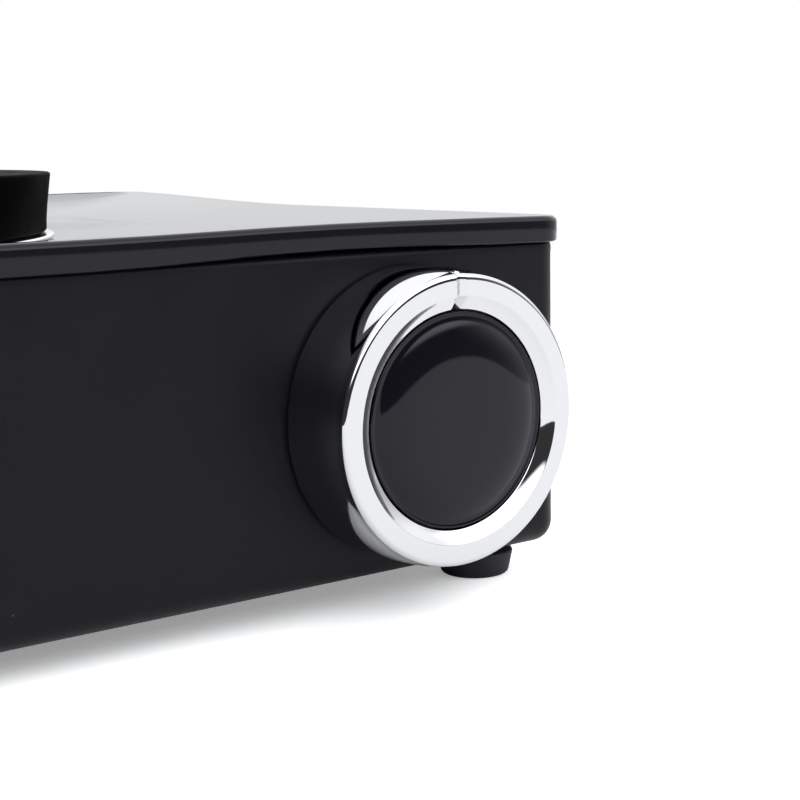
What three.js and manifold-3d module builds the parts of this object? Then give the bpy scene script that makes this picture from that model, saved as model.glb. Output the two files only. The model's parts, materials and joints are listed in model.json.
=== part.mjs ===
// A single-plate electric hot plate: pressed steel housing, dished top panel with a cast-iron
// heating plate, and a front knob on an energy regulator.
// Millimetres. +X is to the right, +Y to the back, +Z up. The origin is on the standing surface,
// under the middle of the whole appliance.
import * as THREE from "three";
import { mergeVertices } from "three/addons/utils/BufferGeometryUtils.js";
import Module from "manifold-3d";

const wasm = await Module();
wasm.setup();

// ---- driving dimensions ----

const GAP = 0.3; // air left between pieces that touch
const WELD = 1e-4; // vertices closer than this are one

// housing
const BODY_WIDTH = 279;
const BODY_DEPTH = 155;
const BODY_BOTTOM = 5.6;
const BODY_TOP = 61.2;
const BODY_CORNER = 4.5;
const BODY_BOTTOM_EDGE = 4;
const BODY_TOP_EDGE = 1.5;
const SHEET = 1.2;
const BOTTOM_FLANGE = 15;
const TOP_FLANGE = 6;
const FRONT = -BODY_DEPTH / 2;
const BACK = BODY_DEPTH / 2;

// top panel
const RIM_TOP = 65.8;
const RIM_HEIGHT = 5.2;
const RIM_OVERHANG = 1.1;
const RIM_EDGE = 1.3;
const RIM_LAND = 2.2;
const TRAY_LEVEL = 63;
const TRAY_SIDE_MARGIN = 37.5;
const TRAY_FRONT_MARGIN = 6.3;
const PANEL_SHEET = 0.8;
const PANEL_HOLE_RADIUS = 65;
const GASKET_THICKNESS = 0.4;
const GASKET_INSET = 2;

// base plate
const BASE_LOW = BODY_BOTTOM + SHEET + GAP;
const BASE_SHEET = 1;
const BASE_TOP = BASE_LOW + BASE_SHEET;
const BASE_WIDTH = 263;
const BASE_LENGTH = 141;
const SLOT_COUNT = 7;
const SLOT_PITCH = 10;
const SLOT_WIDTH = 3.5;
const SLOT_LENGTH = 32;
const SLOT_GROUP_X = 78;

// heating plate and what hangs under it
const PLATE_TOP = 74.4;
const PLATE_RADIUS = 70.3;
const PLATE_FOOT_RADIUS = 69.3;
const PLATE_RECESS_RADIUS = 20;
const PLATE_RECESS_DEPTH = 1.6;
const PLATE_UNDERSIDE = 66.9;
const PLATE_SKIRT_INNER = 61.3;
const RING_RADIUS = 70.6;
const RING_SHEET = 0.8;
const RING_COLLAR_RADIUS = 64.5;
const RING_COLLAR_LOW = 58;
const RING_LOW = TRAY_LEVEL + GAP;
const RING_TOP = RING_LOW + RING_SHEET;
const ELEMENT_TUBE = 2.8;
const ELEMENT_LEVEL = 63.4;
const ELEMENT_START_RADIUS = 54;
const ELEMENT_END_RADIUS = 32;
const ELEMENT_START_ANGLE = 100;
const ELEMENT_SWEEP = 640;
const ELEMENT_LEG_LOW = 44;
const ELEMENT_LEG_HOLE = 5.5;
const COVER_LOW = 55.6;
const COVER_SHEET = 0.8;
const COVER_RADIUS = 61;
const PAD_RADIUS = 58.8;
const PAD_THICKNESS = 1.8;
const REFLECTOR_LOW = 50.2;
const REFLECTOR_RISE = 4;
const REFLECTOR_FLAT = 46.8;
const REFLECTOR_RIM = 58.8;
const REFLECTOR_RADIUS = 62.8;
const BRIDGE_LOW = 47.5;
const BRIDGE_SHEET = 1.5;
const BRIDGE_HALF_SPAN = 73.5;
const BRIDGE_FOOT = 7;
const BRIDGE_WIDTH = 14;
const STUD_RADIUS = 3;
const STUD_LOW = 2.8;
const STUD_HIGH = 70.2;
const STUD_HOLE = STUD_RADIUS + 0.4;
const NUT_RADIUS = 5.8;
const NUT_HEIGHT = 5;
const THIN_NUT_HEIGHT = 3.3;
const WASHER_RADIUS = 9;
const WASHER_THICKNESS = 1.3;
const CUTOUT_X = -38;
const CUTOUT_RADIUS = 8;
const CUTOUT_HEIGHT = 6;

// feet
const FOOT_SIDE_INSET = 12.5;
const FOOT_END_INSET = 10;
const FOOT_SOLE_RADIUS = 6.3;
const FOOT_TOP_RADIUS = 7;
const FOOT_NECK_RADIUS = 4.6;
const FOOT_NECK_LOW = 4.5;
const FOOT_BORE = 1.9;
const FOOT_COUNTERBORE = 3.5;
const FOOT_COUNTERBORE_DEPTH = 2.4;
const FOOT_SCREW_RADIUS = 1.5;
const FOOT_SCREW_HEAD = 2.9;
const FOOT_SCREW_TIP = 11;

// knob and energy regulator, measured out from the housing's front face
const KNOB_X = BODY_WIDTH / 2 - 35.5;
const KNOB_Z = BODY_BOTTOM + 28.1;
const KNOB_RADIUS = 24.3;
const KNOB_BASE_RADIUS = 24.7;
const KNOB_BACK = 0.4;
const KNOB_FRONT = 14.9;
const KNOB_EDGE = 0.8;
const KNOB_WALL = 1.2;
const KNOB_RIDGE_RADIUS = 20.4;
const KNOB_MOUTH_RADIUS = 18.1;
const KNOB_MOUTH_LEVEL = 13.5;
const POINTER_HALF_WIDTH = 0.6;
const POINTER_DEPTH = 0.9;
const CAP_RADIUS = KNOB_MOUTH_RADIUS - GAP;
const CAP_BACK = 11.9;
const CAP_EDGE = 13.3;
const CAP_CROWN = 14.9;
const CORE_FRONT = CAP_BACK - GAP;
const CORE_WEB = 2;
const CORE_WALL = 1.6;
const HUB_RADIUS = 6.5;
const SPINDLE_RADIUS = 3;
const SPINDLE_INNER = -20;
const SPINDLE_OUTER = 9;
const SPINDLE_FLAT = 1.2;
const HUB_FLAT = 2.2;
const BUSH_RADIUS = 4.6;
const BUSH_BORE = 3.3;
const BUSH_HOLE = 4.9;
const BRACKET_WIDTH = 44;
const BRACKET_HEIGHT = 26;
const BRACKET_SHEET = 1.2;
const BRACKET_FACE = -SHEET - GAP;
const CONTROL_SCREW_X = 17;
const CONTROL_SCREW_RADIUS = 1.5;
const CONTROL_SCREW_HEAD = 2.9;
const CONTROL_SCREW_HOLE = 1.8;
const CASE_WIDTH = 30;
const CASE_HEIGHT = 34;
const CASE_FRONT = BRACKET_FACE - BRACKET_SHEET - GAP;
const CASE_BACK = -21;
const CASE_WALL = 1.6;
const CAM_FRONT = -8;
const CAM_BACK = -12;
const CAM_HIGH = 7;
const CAM_LOW = 5.4;
const CAM_LIFT_ANGLE = 300;
const ARM_X = -8.5;
const ARM_PIVOT_Y = -11;
const ARM_TIP_Y = 9;
const ARM_WIDTH = 2.4;
const ARM_BOSS = 2.6;
const PIN_RADIUS = 1.5;
const PIN_HOLE = 1.65;
const TAB_X = 8;
const TAB_Y = 8;
const TAB_WIDTH = 6.3;
const TAB_THICKNESS = 0.8;
const TAB_FRONT = -18;
const TAB_BACK = -31;

// indicator lamp, on the front face
const LAMP_X = -KNOB_X;
const LAMP_Z = KNOB_Z;
const LAMP_BARREL = 4.8;
const LAMP_BACK = -6;
const LAMP_CROWN = 3.3;
const LAMP_FLANGE = 6.5;
const LAMP_RETAINER_RADIUS = 8.5;
const LAMP_HOLDER_RADIUS = 6;
const LAMP_HOLDER_BACK = -15;
const LAMP_HOLE = 5.2;

// mains inlet, on the back face
const GLAND_X = -KNOB_X;
const GLAND_Z = 26;
const GLAND_REACH = 9;
const GLAND_INNER = -10;
const GLAND_FLANGE = 11;
const GLAND_TIP = 6.7;
const GLAND_NUT = 12;
const GLAND_NUT_HEIGHT = 4;
const GLAND_BARREL = 7.4;
const GLAND_HOLE = 7.8;
const GLAND_BORE = 4;

// wiring
const WIRE_RADIUS = 1.4;
const BLOCK_X = -104;
const BLOCK_FRONT_Y = 44;
const BLOCK_WIDTH = 30;
const BLOCK_LENGTH = 18;
const BLOCK_HEIGHT = 12;
const PORT_PITCH = 4;
const PORT_Y = BLOCK_FRONT_Y - GAP;
const PORT_Z = BASE_TOP + GAP + BLOCK_HEIGHT / 2;
const EARTH_X = -112;
const EARTH_Y = 5;
const EARTH_SHANK = 2;
const EARTH_HEAD = 3.6;

// the knob reaches further forward than the gland reaches back
const BODY_SHIFT_Y = (KNOB_FRONT - GLAND_REACH) / 2;

// ---- finishes ----

function finish(color, roughness, metalness) {
  return () => new THREE.MeshStandardMaterial({ color, roughness, metalness });
}

const satinBlack = finish(0x27272b, 0.45, 0.0);
const glossBlack = finish(0x141417, 0.08, 0.0);
const castIron = finish(0x0c0c0d, 0.7, 0.3);
const chrome = finish(0xe8e9eb, 0.06, 1.0);
const polishedSteel = finish(0xb9bbbe, 0.25, 1.0);
const zincSteel = finish(0xa8abae, 0.4, 1.0);
const aluminium = finish(0xc4c6c9, 0.35, 1.0);
const brass = finish(0xb8964c, 0.3, 1.0);
const rubber = finish(0x1a1a1d, 0.85, 0.0);
const blackPlastic = finish(0x18181b, 0.5, 0.0);
const glossPlastic = finish(0x0e0e12, 0.1, 0.0);
const ceramic = finish(0xe6e0d3, 0.6, 0.0);
const mica = finish(0xb7a888, 0.75, 0.0);
const lampAmber = finish(0xd9541e, 0.15, 0.0);
const brownWire = finish(0x6a4020, 0.6, 0.0);
const blueWire = finish(0x2c4f9a, 0.6, 0.0);
const greenWire = finish(0x4f8f3a, 0.6, 0.0);

// ---- solids ----

function toSolid(geometry) {
  const bare = geometry.clone();
  bare.deleteAttribute("normal");
  bare.deleteAttribute("uv");
  const merged = mergeVertices(bare, WELD);
  const corners = merged.getIndex().array;
  const triangles = [];
  for (let i = 0; i < corners.length; i += 3) {
    const [a, b, c] = corners.slice(i, i + 3);
    if (a !== b && b !== c && c !== a) triangles.push(a, b, c);
  }
  const mesh = new wasm.Mesh({
    numProp: 3,
    vertProperties: new Float32Array(merged.getAttribute("position").array),
    triVerts: new Uint32Array(triangles),
  });
  return new wasm.Manifold(mesh);
}

function toGeometry(solid) {
  const mesh = solid.getMesh();
  const geometry = new THREE.BufferGeometry();
  geometry.setAttribute("position", new THREE.BufferAttribute(new Float32Array(mesh.vertProperties), 3));
  geometry.setIndex(new THREE.BufferAttribute(new Uint32Array(mesh.triVerts), 1));
  geometry.computeVertexNormals();
  return geometry;
}

function combine(operation, first, rest) {
  let solid = toSolid(first);
  for (const geometry of rest) solid = solid[operation](toSolid(geometry));
  return toGeometry(solid);
}

const cut = (body, ...tools) => combine("subtract", body, tools);
const join = (body, ...pieces) => combine("add", body, pieces);
const common = (body, ...others) => combine("intersect", body, others);

function radians(degrees) {
  return THREE.MathUtils.degToRad(degrees);
}

// A profile of [radius, height] points turned about Z. It runs from axis to axis or closes on itself.
function turned(profile, segments) {
  const points = profile.map(([radius, height]) => new THREE.Vector2(radius, height));
  if (points[0].x > 0 || points[points.length - 1].x > 0) points.push(points[0].clone());
  let area = 0;
  points.forEach((point, i) => {
    area += point.cross(points[(i + 1) % points.length]);
  });
  if (area < 0) points.reverse();
  return new THREE.LatheGeometry(points, segments).rotateX(Math.PI / 2);
}

// A round or many-sided bar along Z.
function rod(radius, low, high, sides = 12) {
  const bar = new THREE.CylinderGeometry(radius, radius, high - low, sides);
  return bar.rotateX(Math.PI / 2).translate(0, 0, (low + high) / 2);
}

// A rod along Y, centred on y = 0, for holes in the front and back walls.
function wallDrill(radius, reach, x, y, z) {
  return rod(radius, -reach, reach).rotateX(Math.PI / 2).translate(x, y, z);
}

function block(width, length, low, high) {
  return new THREE.BoxGeometry(width, length, high - low).translate(0, 0, (low + high) / 2);
}

function roundedRectangle(width, length, radius) {
  const x = width / 2;
  const y = length / 2;
  const shape = new THREE.Shape();
  shape.absarc(x - radius, y - radius, radius, 0, Math.PI / 2);
  shape.absarc(radius - x, y - radius, radius, Math.PI / 2, Math.PI);
  shape.absarc(radius - x, radius - y, radius, Math.PI, 1.5 * Math.PI);
  shape.absarc(x - radius, radius - y, radius, 1.5 * Math.PI, 2 * Math.PI);
  return shape;
}

// A rounded rectangle from low to high, its top and bottom edges rounded over by edge.
function slab(width, length, radius, low, high, edge = 0) {
  const geometry = new THREE.ExtrudeGeometry(roundedRectangle(width, length, radius), {
    depth: high - low - 2 * edge,
    curveSegments: 3,
    bevelEnabled: edge > 0,
    bevelThickness: edge,
    bevelSize: edge,
    bevelOffset: -edge,
    bevelSegments: 2,
  });
  return geometry.translate(0, 0, low + edge);
}

// A flat outline of [x, height] points, extruded along Y over the given length.
function bar(outline, length) {
  const shape = new THREE.Shape(outline.map(([x, height]) => new THREE.Vector2(x, height)));
  const geometry = new THREE.ExtrudeGeometry(shape, { depth: length, bevelEnabled: false });
  return geometry.rotateX(Math.PI / 2).translate(0, length / 2, 0);
}

// A round tube along a smooth curve through the given points.
function tube(points, radius, steps, sides = 6) {
  const path = new THREE.CatmullRomCurve3(points.map((point) => new THREE.Vector3(...point)));
  const section = new THREE.Shape();
  for (let i = 0; i < sides; i++) {
    const angle = (i * 2 * Math.PI) / sides;
    const corner = [radius * Math.cos(angle), radius * Math.sin(angle)];
    if (i === 0) section.moveTo(...corner);
    else section.lineTo(...corner);
  }
  section.closePath();
  return new THREE.ExtrudeGeometry(section, { steps, extrudePath: path, bevelEnabled: false });
}

function addPiece(parent, name, geometry, material, x = 0, y = 0, z = 0) {
  const piece = new THREE.Mesh(toGeometry(toSolid(geometry)), material());
  piece.name = name;
  piece.position.set(x, y, z);
  parent.add(piece);
  return piece;
}

// ---- housing ----

function footPlaces() {
  const x = BODY_WIDTH / 2 - FOOT_SIDE_INSET;
  const y = BODY_DEPTH / 2 - FOOT_END_INSET;
  return [
    ["front_left", -x, -y],
    ["front_right", x, -y],
    ["back_left", -x, y],
    ["back_right", x, y],
  ];
}

function bodyShell() {
  const beyond = 20;
  const size = [BODY_WIDTH, BODY_DEPTH, BODY_CORNER];
  const lower = slab(...size, BODY_BOTTOM, BODY_TOP + beyond, BODY_BOTTOM_EDGE);
  const upper = slab(...size, BODY_BOTTOM - beyond, BODY_TOP, BODY_TOP_EDGE);
  const inside = slab(
    BODY_WIDTH - 2 * SHEET,
    BODY_DEPTH - 2 * SHEET,
    BODY_CORNER - SHEET,
    BODY_BOTTOM + SHEET,
    BODY_TOP - SHEET,
    BODY_BOTTOM_EDGE - SHEET,
  );
  const openings = [
    [BOTTOM_FLANGE, BODY_BOTTOM],
    [TOP_FLANGE, BODY_TOP],
  ].map(([flange, level]) =>
    slab(BODY_WIDTH - 2 * flange, BODY_DEPTH - 2 * flange, SHEET, level - 2 * SHEET, level + 2 * SHEET),
  );
  const drilled = [
    wallDrill(BUSH_HOLE, 3 * SHEET, KNOB_X, FRONT, KNOB_Z),
    wallDrill(CONTROL_SCREW_HOLE, 3 * SHEET, KNOB_X - CONTROL_SCREW_X, FRONT, KNOB_Z),
    wallDrill(CONTROL_SCREW_HOLE, 3 * SHEET, KNOB_X + CONTROL_SCREW_X, FRONT, KNOB_Z),
    wallDrill(LAMP_HOLE, 3 * SHEET, LAMP_X, FRONT, LAMP_Z),
    wallDrill(GLAND_HOLE, 3 * SHEET, GLAND_X, BACK, GLAND_Z),
  ];
  const footHoles = footPlaces().map(([, x, y]) =>
    rod(FOOT_BORE, BODY_BOTTOM - SHEET, BODY_BOTTOM + 2 * SHEET, 12).translate(x, y, 0),
  );
  return cut(common(lower, upper), inside, ...openings, ...drilled, ...footHoles);
}

// The dished field of the panel: flat in the middle, with four margins sloping up to the rim.
function trayHollow(drop) {
  const high = RIM_TOP + RIM_HEIGHT;
  const low = TRAY_LEVEL - drop;
  const rise = RIM_TOP - TRAY_LEVEL;
  function wedge(half, margin, length) {
    const run = margin - RIM_LAND;
    const top = half - RIM_LAND + (run * (high - RIM_TOP + drop)) / rise;
    const bottom = half - margin;
    return bar([[-bottom, low], [bottom, low], [top, high], [-top, high]], length);
  }
  const sides = wedge(BODY_WIDTH / 2, TRAY_SIDE_MARGIN, 2 * BODY_DEPTH);
  const ends = wedge(BODY_DEPTH / 2, TRAY_FRONT_MARGIN, 2 * BODY_WIDTH).rotateZ(Math.PI / 2);
  return common(sides, ends);
}

function topPanel() {
  const low = RIM_TOP - RIM_HEIGHT;
  const width = BODY_WIDTH + 2 * RIM_OVERHANG;
  const length = BODY_DEPTH + 2 * RIM_OVERHANG;
  const corner = BODY_CORNER + RIM_OVERHANG;
  const outside = slab(width, length, corner, low - RIM_HEIGHT, RIM_TOP, RIM_EDGE);
  const below = slab(2 * width, 2 * length, corner, low - 2 * RIM_HEIGHT, low);
  const inside = slab(
    width - 2 * PANEL_SHEET,
    length - 2 * PANEL_SHEET,
    corner - PANEL_SHEET,
    low - RIM_HEIGHT,
    RIM_TOP - PANEL_SHEET,
    RIM_EDGE - PANEL_SHEET,
  );
  const underside = cut(inside, trayHollow(PANEL_SHEET));
  const hole = rod(PANEL_HOLE_RADIUS, low - RIM_HEIGHT, RIM_TOP, 48);
  return cut(outside, below, trayHollow(0), underside, hole);
}

function panelGasket() {
  const low = BODY_TOP + GAP;
  const frame = (inset, bottom, top) =>
    slab(BODY_WIDTH - 2 * inset, BODY_DEPTH - 2 * inset, BODY_CORNER - GASKET_INSET, bottom, top);
  const inner = TOP_FLANGE + 1;
  return cut(frame(GASKET_INSET, low, low + GASKET_THICKNESS), frame(inner, low - SHEET, low + 3 * SHEET));
}

function basePlate() {
  const sheet = slab(BASE_WIDTH, BASE_LENGTH, BODY_CORNER, BASE_LOW, BASE_TOP);
  const slots = [];
  for (const side of [-1, 1]) {
    for (let i = 0; i < SLOT_COUNT; i++) {
      const y = (i - (SLOT_COUNT - 1) / 2) * SLOT_PITCH;
      const slot = block(SLOT_LENGTH, SLOT_WIDTH, BASE_LOW - SHEET, BASE_TOP + SHEET);
      slots.push(slot.translate(side * SLOT_GROUP_X, y, 0));
    }
  }
  const drill = (radius, x, y) => rod(radius, BASE_LOW - SHEET, BASE_TOP + SHEET, 12).translate(x, y, 0);
  const footHoles = footPlaces().map(([, x, y]) => drill(FOOT_BORE, x, y));
  return cut(sheet, ...slots, ...footHoles, drill(STUD_HOLE, 0, 0), drill(EARTH_SHANK + 0.4, EARTH_X, EARTH_Y));
}

function foot() {
  const neckTop = BODY_BOTTOM - GAP;
  return turned(
    [
      [FOOT_COUNTERBORE, 0],
      [FOOT_SOLE_RADIUS - 0.6, 0],
      [FOOT_SOLE_RADIUS, 0.6],
      [FOOT_TOP_RADIUS, FOOT_NECK_LOW],
      [FOOT_NECK_RADIUS, FOOT_NECK_LOW],
      [FOOT_NECK_RADIUS, neckTop],
      [FOOT_BORE, neckTop],
      [FOOT_BORE, FOOT_COUNTERBORE_DEPTH],
      [FOOT_COUNTERBORE, FOOT_COUNTERBORE_DEPTH],
    ],
    14,
  );
}

function footScrew() {
  const headTop = FOOT_COUNTERBORE_DEPTH - GAP;
  return turned(
    [
      [0, 0.5],
      [FOOT_SCREW_HEAD - 0.6, 0.6],
      [FOOT_SCREW_HEAD, headTop],
      [FOOT_SCREW_RADIUS, headTop],
      [FOOT_SCREW_RADIUS, FOOT_SCREW_TIP - 1],
      [0, FOOT_SCREW_TIP],
    ],
    12,
  );
}

function addHousing(parent) {
  addPiece(parent, "body_shell", bodyShell(), satinBlack);
  addPiece(parent, "top_panel", topPanel(), glossBlack);
  addPiece(parent, "panel_gasket", panelGasket(), rubber);
  addPiece(parent, "base_plate", basePlate(), zincSteel);
  for (const [place, x, y] of footPlaces()) {
    addPiece(parent, `foot_${place}`, foot(), rubber, x, y);
    addPiece(parent, `foot_screw_${place}`, footScrew(), zincSteel, x, y);
  }
}

// ---- burner ----

function heatingPlate() {
  const foot = RING_TOP + GAP;
  const disc = turned(
    [
      [0, PLATE_UNDERSIDE],
      [PLATE_SKIRT_INNER, PLATE_UNDERSIDE],
      [PLATE_SKIRT_INNER, foot],
      [PLATE_FOOT_RADIUS, foot],
      [PLATE_FOOT_RADIUS + 0.2, foot + 3],
      [PLATE_RADIUS, PLATE_TOP - 1.2],
      [PLATE_RADIUS - 0.3, PLATE_TOP - 0.3],
      [PLATE_RADIUS - 1.2, PLATE_TOP],
      [PLATE_RECESS_RADIUS, PLATE_TOP],
      [PLATE_RECESS_RADIUS - 1.2, PLATE_TOP - PLATE_RECESS_DEPTH],
      [0, PLATE_TOP - PLATE_RECESS_DEPTH],
    ],
    48,
  );
  return cut(disc, rod(STUD_HOLE, PLATE_UNDERSIDE - SHEET, STUD_HIGH + GAP));
}

function trimRing() {
  const bore = RING_COLLAR_RADIUS - RING_SHEET;
  return turned(
    [
      [bore, RING_COLLAR_LOW],
      [RING_COLLAR_RADIUS, RING_COLLAR_LOW],
      [RING_COLLAR_RADIUS, RING_LOW],
      [RING_RADIUS, RING_LOW],
      [RING_RADIUS, RING_TOP - 0.3],
      [RING_RADIUS - 0.4, RING_TOP],
      [bore, RING_TOP],
    ],
    48,
  );
}

function polar(radius, degrees) {
  return [radius * Math.cos(radians(degrees)), radius * Math.sin(radians(degrees))];
}

function elementEnds() {
  return [
    polar(ELEMENT_START_RADIUS, ELEMENT_START_ANGLE),
    polar(ELEMENT_END_RADIUS, ELEMENT_START_ANGLE + ELEMENT_SWEEP),
  ];
}

// A sheathed tube wound in a flat spiral, with both ends turned down.
function heatingElement() {
  const [start, end] = elementEnds();
  const bend = 6;
  const turns = 28;
  const points = [[...start, ELEMENT_LEG_LOW], [...start, ELEMENT_LEVEL - bend]];
  for (let i = 0; i <= turns; i++) {
    const along = (i + 0.35) / (turns + 0.7);
    const radius = THREE.MathUtils.lerp(ELEMENT_START_RADIUS, ELEMENT_END_RADIUS, along);
    points.push([...polar(radius, ELEMENT_START_ANGLE + ELEMENT_SWEEP * along), ELEMENT_LEVEL]);
  }
  points.push([...end, ELEMENT_LEVEL - bend], [...end, ELEMENT_LEG_LOW]);
  return tube(points, ELEMENT_TUBE, 60);
}

function withBurnerHoles(body, low, high) {
  const legHoles = elementEnds().map(([x, y]) => rod(ELEMENT_LEG_HOLE, low, high, 12).translate(x, y, 0));
  return cut(body, rod(STUD_HOLE, low, high, 16), ...legHoles);
}

function insulationPad() {
  const low = COVER_LOW + COVER_SHEET + GAP;
  return withBurnerHoles(rod(PAD_RADIUS, low, low + PAD_THICKNESS, 40), low - SHEET, low + 2 * SHEET);
}

function elementCover() {
  const pan = turned(
    [
      [0, COVER_LOW],
      [COVER_RADIUS, COVER_LOW],
      [COVER_RADIUS, PLATE_UNDERSIDE - GAP],
      [COVER_RADIUS - COVER_SHEET, PLATE_UNDERSIDE - GAP],
      [COVER_RADIUS - COVER_SHEET, COVER_LOW + COVER_SHEET],
      [0, COVER_LOW + COVER_SHEET],
    ],
    40,
  );
  return withBurnerHoles(pan, COVER_LOW - SHEET, COVER_LOW + 2 * SHEET);
}

function heatReflector() {
  const high = REFLECTOR_LOW + REFLECTOR_RISE;
  const dish = turned(
    [
      [0, REFLECTOR_LOW],
      [REFLECTOR_FLAT, REFLECTOR_LOW],
      [REFLECTOR_RIM, high],
      [REFLECTOR_RADIUS, high],
      [REFLECTOR_RADIUS, high + COVER_SHEET],
      [REFLECTOR_RIM - 0.2, high + COVER_SHEET],
      [REFLECTOR_FLAT - 0.2, REFLECTOR_LOW + COVER_SHEET],
      [0, REFLECTOR_LOW + COVER_SHEET],
    ],
    40,
  );
  return withBurnerHoles(dish, REFLECTOR_LOW - SHEET, high + 2 * SHEET);
}

// A hat-shaped strap whose feet bear up on the underside of the top panel.
function clampBridge() {
  const high = TRAY_LEVEL - PANEL_SHEET - GAP;
  const inner = BRIDGE_HALF_SPAN - BRIDGE_SHEET;
  const outer = BRIDGE_HALF_SPAN + BRIDGE_FOOT;
  const right = [
    [BRIDGE_HALF_SPAN, BRIDGE_LOW],
    [BRIDGE_HALF_SPAN, high - BRIDGE_SHEET],
    [outer, high - BRIDGE_SHEET],
    [outer, high],
    [inner, high],
    [inner, BRIDGE_LOW + BRIDGE_SHEET],
  ];
  const left = right.map(([x, z]) => [-x, z]).reverse();
  const strap = bar([...right, ...left], BRIDGE_WIDTH);
  return cut(strap, rod(STUD_HOLE, BRIDGE_LOW - SHEET, BRIDGE_LOW + 2 * SHEET));
}

function ringNut(low, height) {
  const reach = 1;
  return cut(rod(NUT_RADIUS, low, low + height, 6), rod(STUD_HOLE, low - reach, low + height + reach, 16));
}

function clampWasher() {
  const high = BRIDGE_LOW - GAP;
  const low = high - WASHER_THICKNESS;
  return cut(rod(WASHER_RADIUS, low, high, 24), rod(STUD_HOLE, low - 1, high + 1, 16));
}

// A bimetal disc cut-out hanging under the bridge, with a tab at each side.
function thermalCutout() {
  const high = BRIDGE_LOW - GAP;
  const low = high - CUTOUT_HEIGHT;
  const tabs = block(TAB_WIDTH, 30, low + 2, low + 2 + TAB_THICKNESS);
  return join(rod(CUTOUT_RADIUS, low, high, 24), tabs);
}

function addBurner(parent) {
  const nutTop = BRIDGE_LOW - WASHER_THICKNESS - 2 * GAP;
  addPiece(parent, "heating_plate", heatingPlate(), castIron);
  addPiece(parent, "trim_ring", trimRing(), polishedSteel);
  addPiece(parent, "heating_element", heatingElement(), zincSteel);
  addPiece(parent, "insulation_pad", insulationPad(), mica);
  addPiece(parent, "element_cover", elementCover(), zincSteel);
  addPiece(parent, "heat_reflector", heatReflector(), aluminium);
  addPiece(parent, "clamp_bridge", clampBridge(), zincSteel);
  addPiece(parent, "clamp_washer", clampWasher(), zincSteel);
  addPiece(parent, "clamp_nut", ringNut(nutTop - NUT_HEIGHT, NUT_HEIGHT), zincSteel);
  addPiece(parent, "base_nut", ringNut(BASE_LOW - GAP - THIN_NUT_HEIGHT, THIN_NUT_HEIGHT), zincSteel);
  addPiece(parent, "centre_stud", rod(STUD_RADIUS, STUD_LOW, STUD_HIGH, 16), zincSteel);
  addPiece(parent, "thermal_cutout", thermalCutout(), ceramic, CUTOUT_X);
}

// ---- knob and regulator: local +Z points out of the front face, local +Y up ----

function knobSleeve() {
  const bore = KNOB_RADIUS - KNOB_WALL;
  const sleeve = turned(
    [
      [KNOB_BASE_RADIUS, KNOB_BACK],
      [KNOB_RADIUS, KNOB_FRONT - KNOB_EDGE],
      [KNOB_RADIUS - 0.3 * KNOB_EDGE, KNOB_FRONT - 0.3 * KNOB_EDGE],
      [KNOB_RADIUS - KNOB_EDGE, KNOB_FRONT],
      [KNOB_RIDGE_RADIUS, KNOB_FRONT],
      [KNOB_MOUTH_RADIUS, KNOB_MOUTH_LEVEL],
      [KNOB_MOUTH_RADIUS, KNOB_MOUTH_LEVEL - KNOB_WALL],
      [KNOB_RIDGE_RADIUS + 0.2, KNOB_FRONT - 1.5],
      [bore, KNOB_FRONT - 1.5],
      [bore, KNOB_BACK],
    ],
    40,
  );
  return cut(sleeve, pointerGroove());
}

// A V-groove that marks 12 o'clock across the front ring.
function pointerGroove() {
  const above = 1;
  const wide = (POINTER_HALF_WIDTH * (POINTER_DEPTH + above)) / POINTER_DEPTH;
  const outline = [[0, KNOB_FRONT - POINTER_DEPTH], [wide, KNOB_FRONT + above], [-wide, KNOB_FRONT + above]];
  const length = KNOB_RADIUS - KNOB_MOUTH_RADIUS + 4;
  return bar(outline, length).translate(0, (KNOB_RADIUS + KNOB_MOUTH_RADIUS) / 2, 0);
}

function knobCap() {
  const crown = CAP_CROWN - CAP_EDGE;
  const dome = [1, 0.75, 0.5, 0.25].map((part) => [
    (CAP_RADIUS - 0.5) * part,
    CAP_EDGE + 0.3 + (crown - 0.3) * (1 - part * part),
  ]);
  return turned([[0, CAP_BACK], [CAP_RADIUS, CAP_BACK], [CAP_RADIUS, CAP_EDGE], ...dome, [0, CAP_CROWN]], 36);
}

// The shaft or bore with one flat: what lies below the flat's height.
function flatted(radius, low, high, flat) {
  const below = block(4 * radius, 4 * radius, low - 1, high + 1).translate(0, flat - 2 * radius, 0);
  return common(rod(radius, low, high, 24), below);
}

function knobCore() {
  const radius = KNOB_RADIUS - KNOB_WALL - GAP;
  const back = KNOB_BACK + GAP;
  const webBack = CORE_FRONT - CORE_WEB;
  const cup = turned(
    [
      [0, back],
      [HUB_RADIUS, back],
      [HUB_RADIUS, webBack],
      [radius - CORE_WALL, webBack],
      [radius - CORE_WALL, back],
      [radius, back],
      [radius, CORE_FRONT],
      [0, CORE_FRONT],
    ],
    32,
  );
  return cut(cup, flatted(SPINDLE_RADIUS + GAP, back - 1, SPINDLE_OUTER + GAP, HUB_FLAT));
}

function knobSpring() {
  const thickness = HUB_FLAT - SPINDLE_FLAT - 2 * GAP;
  return block(3.6, thickness, 2, SPINDLE_OUTER - 1).translate(0, (HUB_FLAT + SPINDLE_FLAT) / 2, 0);
}

function regulatorSpindle() {
  const round = rod(SPINDLE_RADIUS, SPINDLE_INNER, KNOB_BACK, 24);
  return join(round, flatted(SPINDLE_RADIUS, 0, SPINDLE_OUTER, SPINDLE_FLAT));
}

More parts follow.
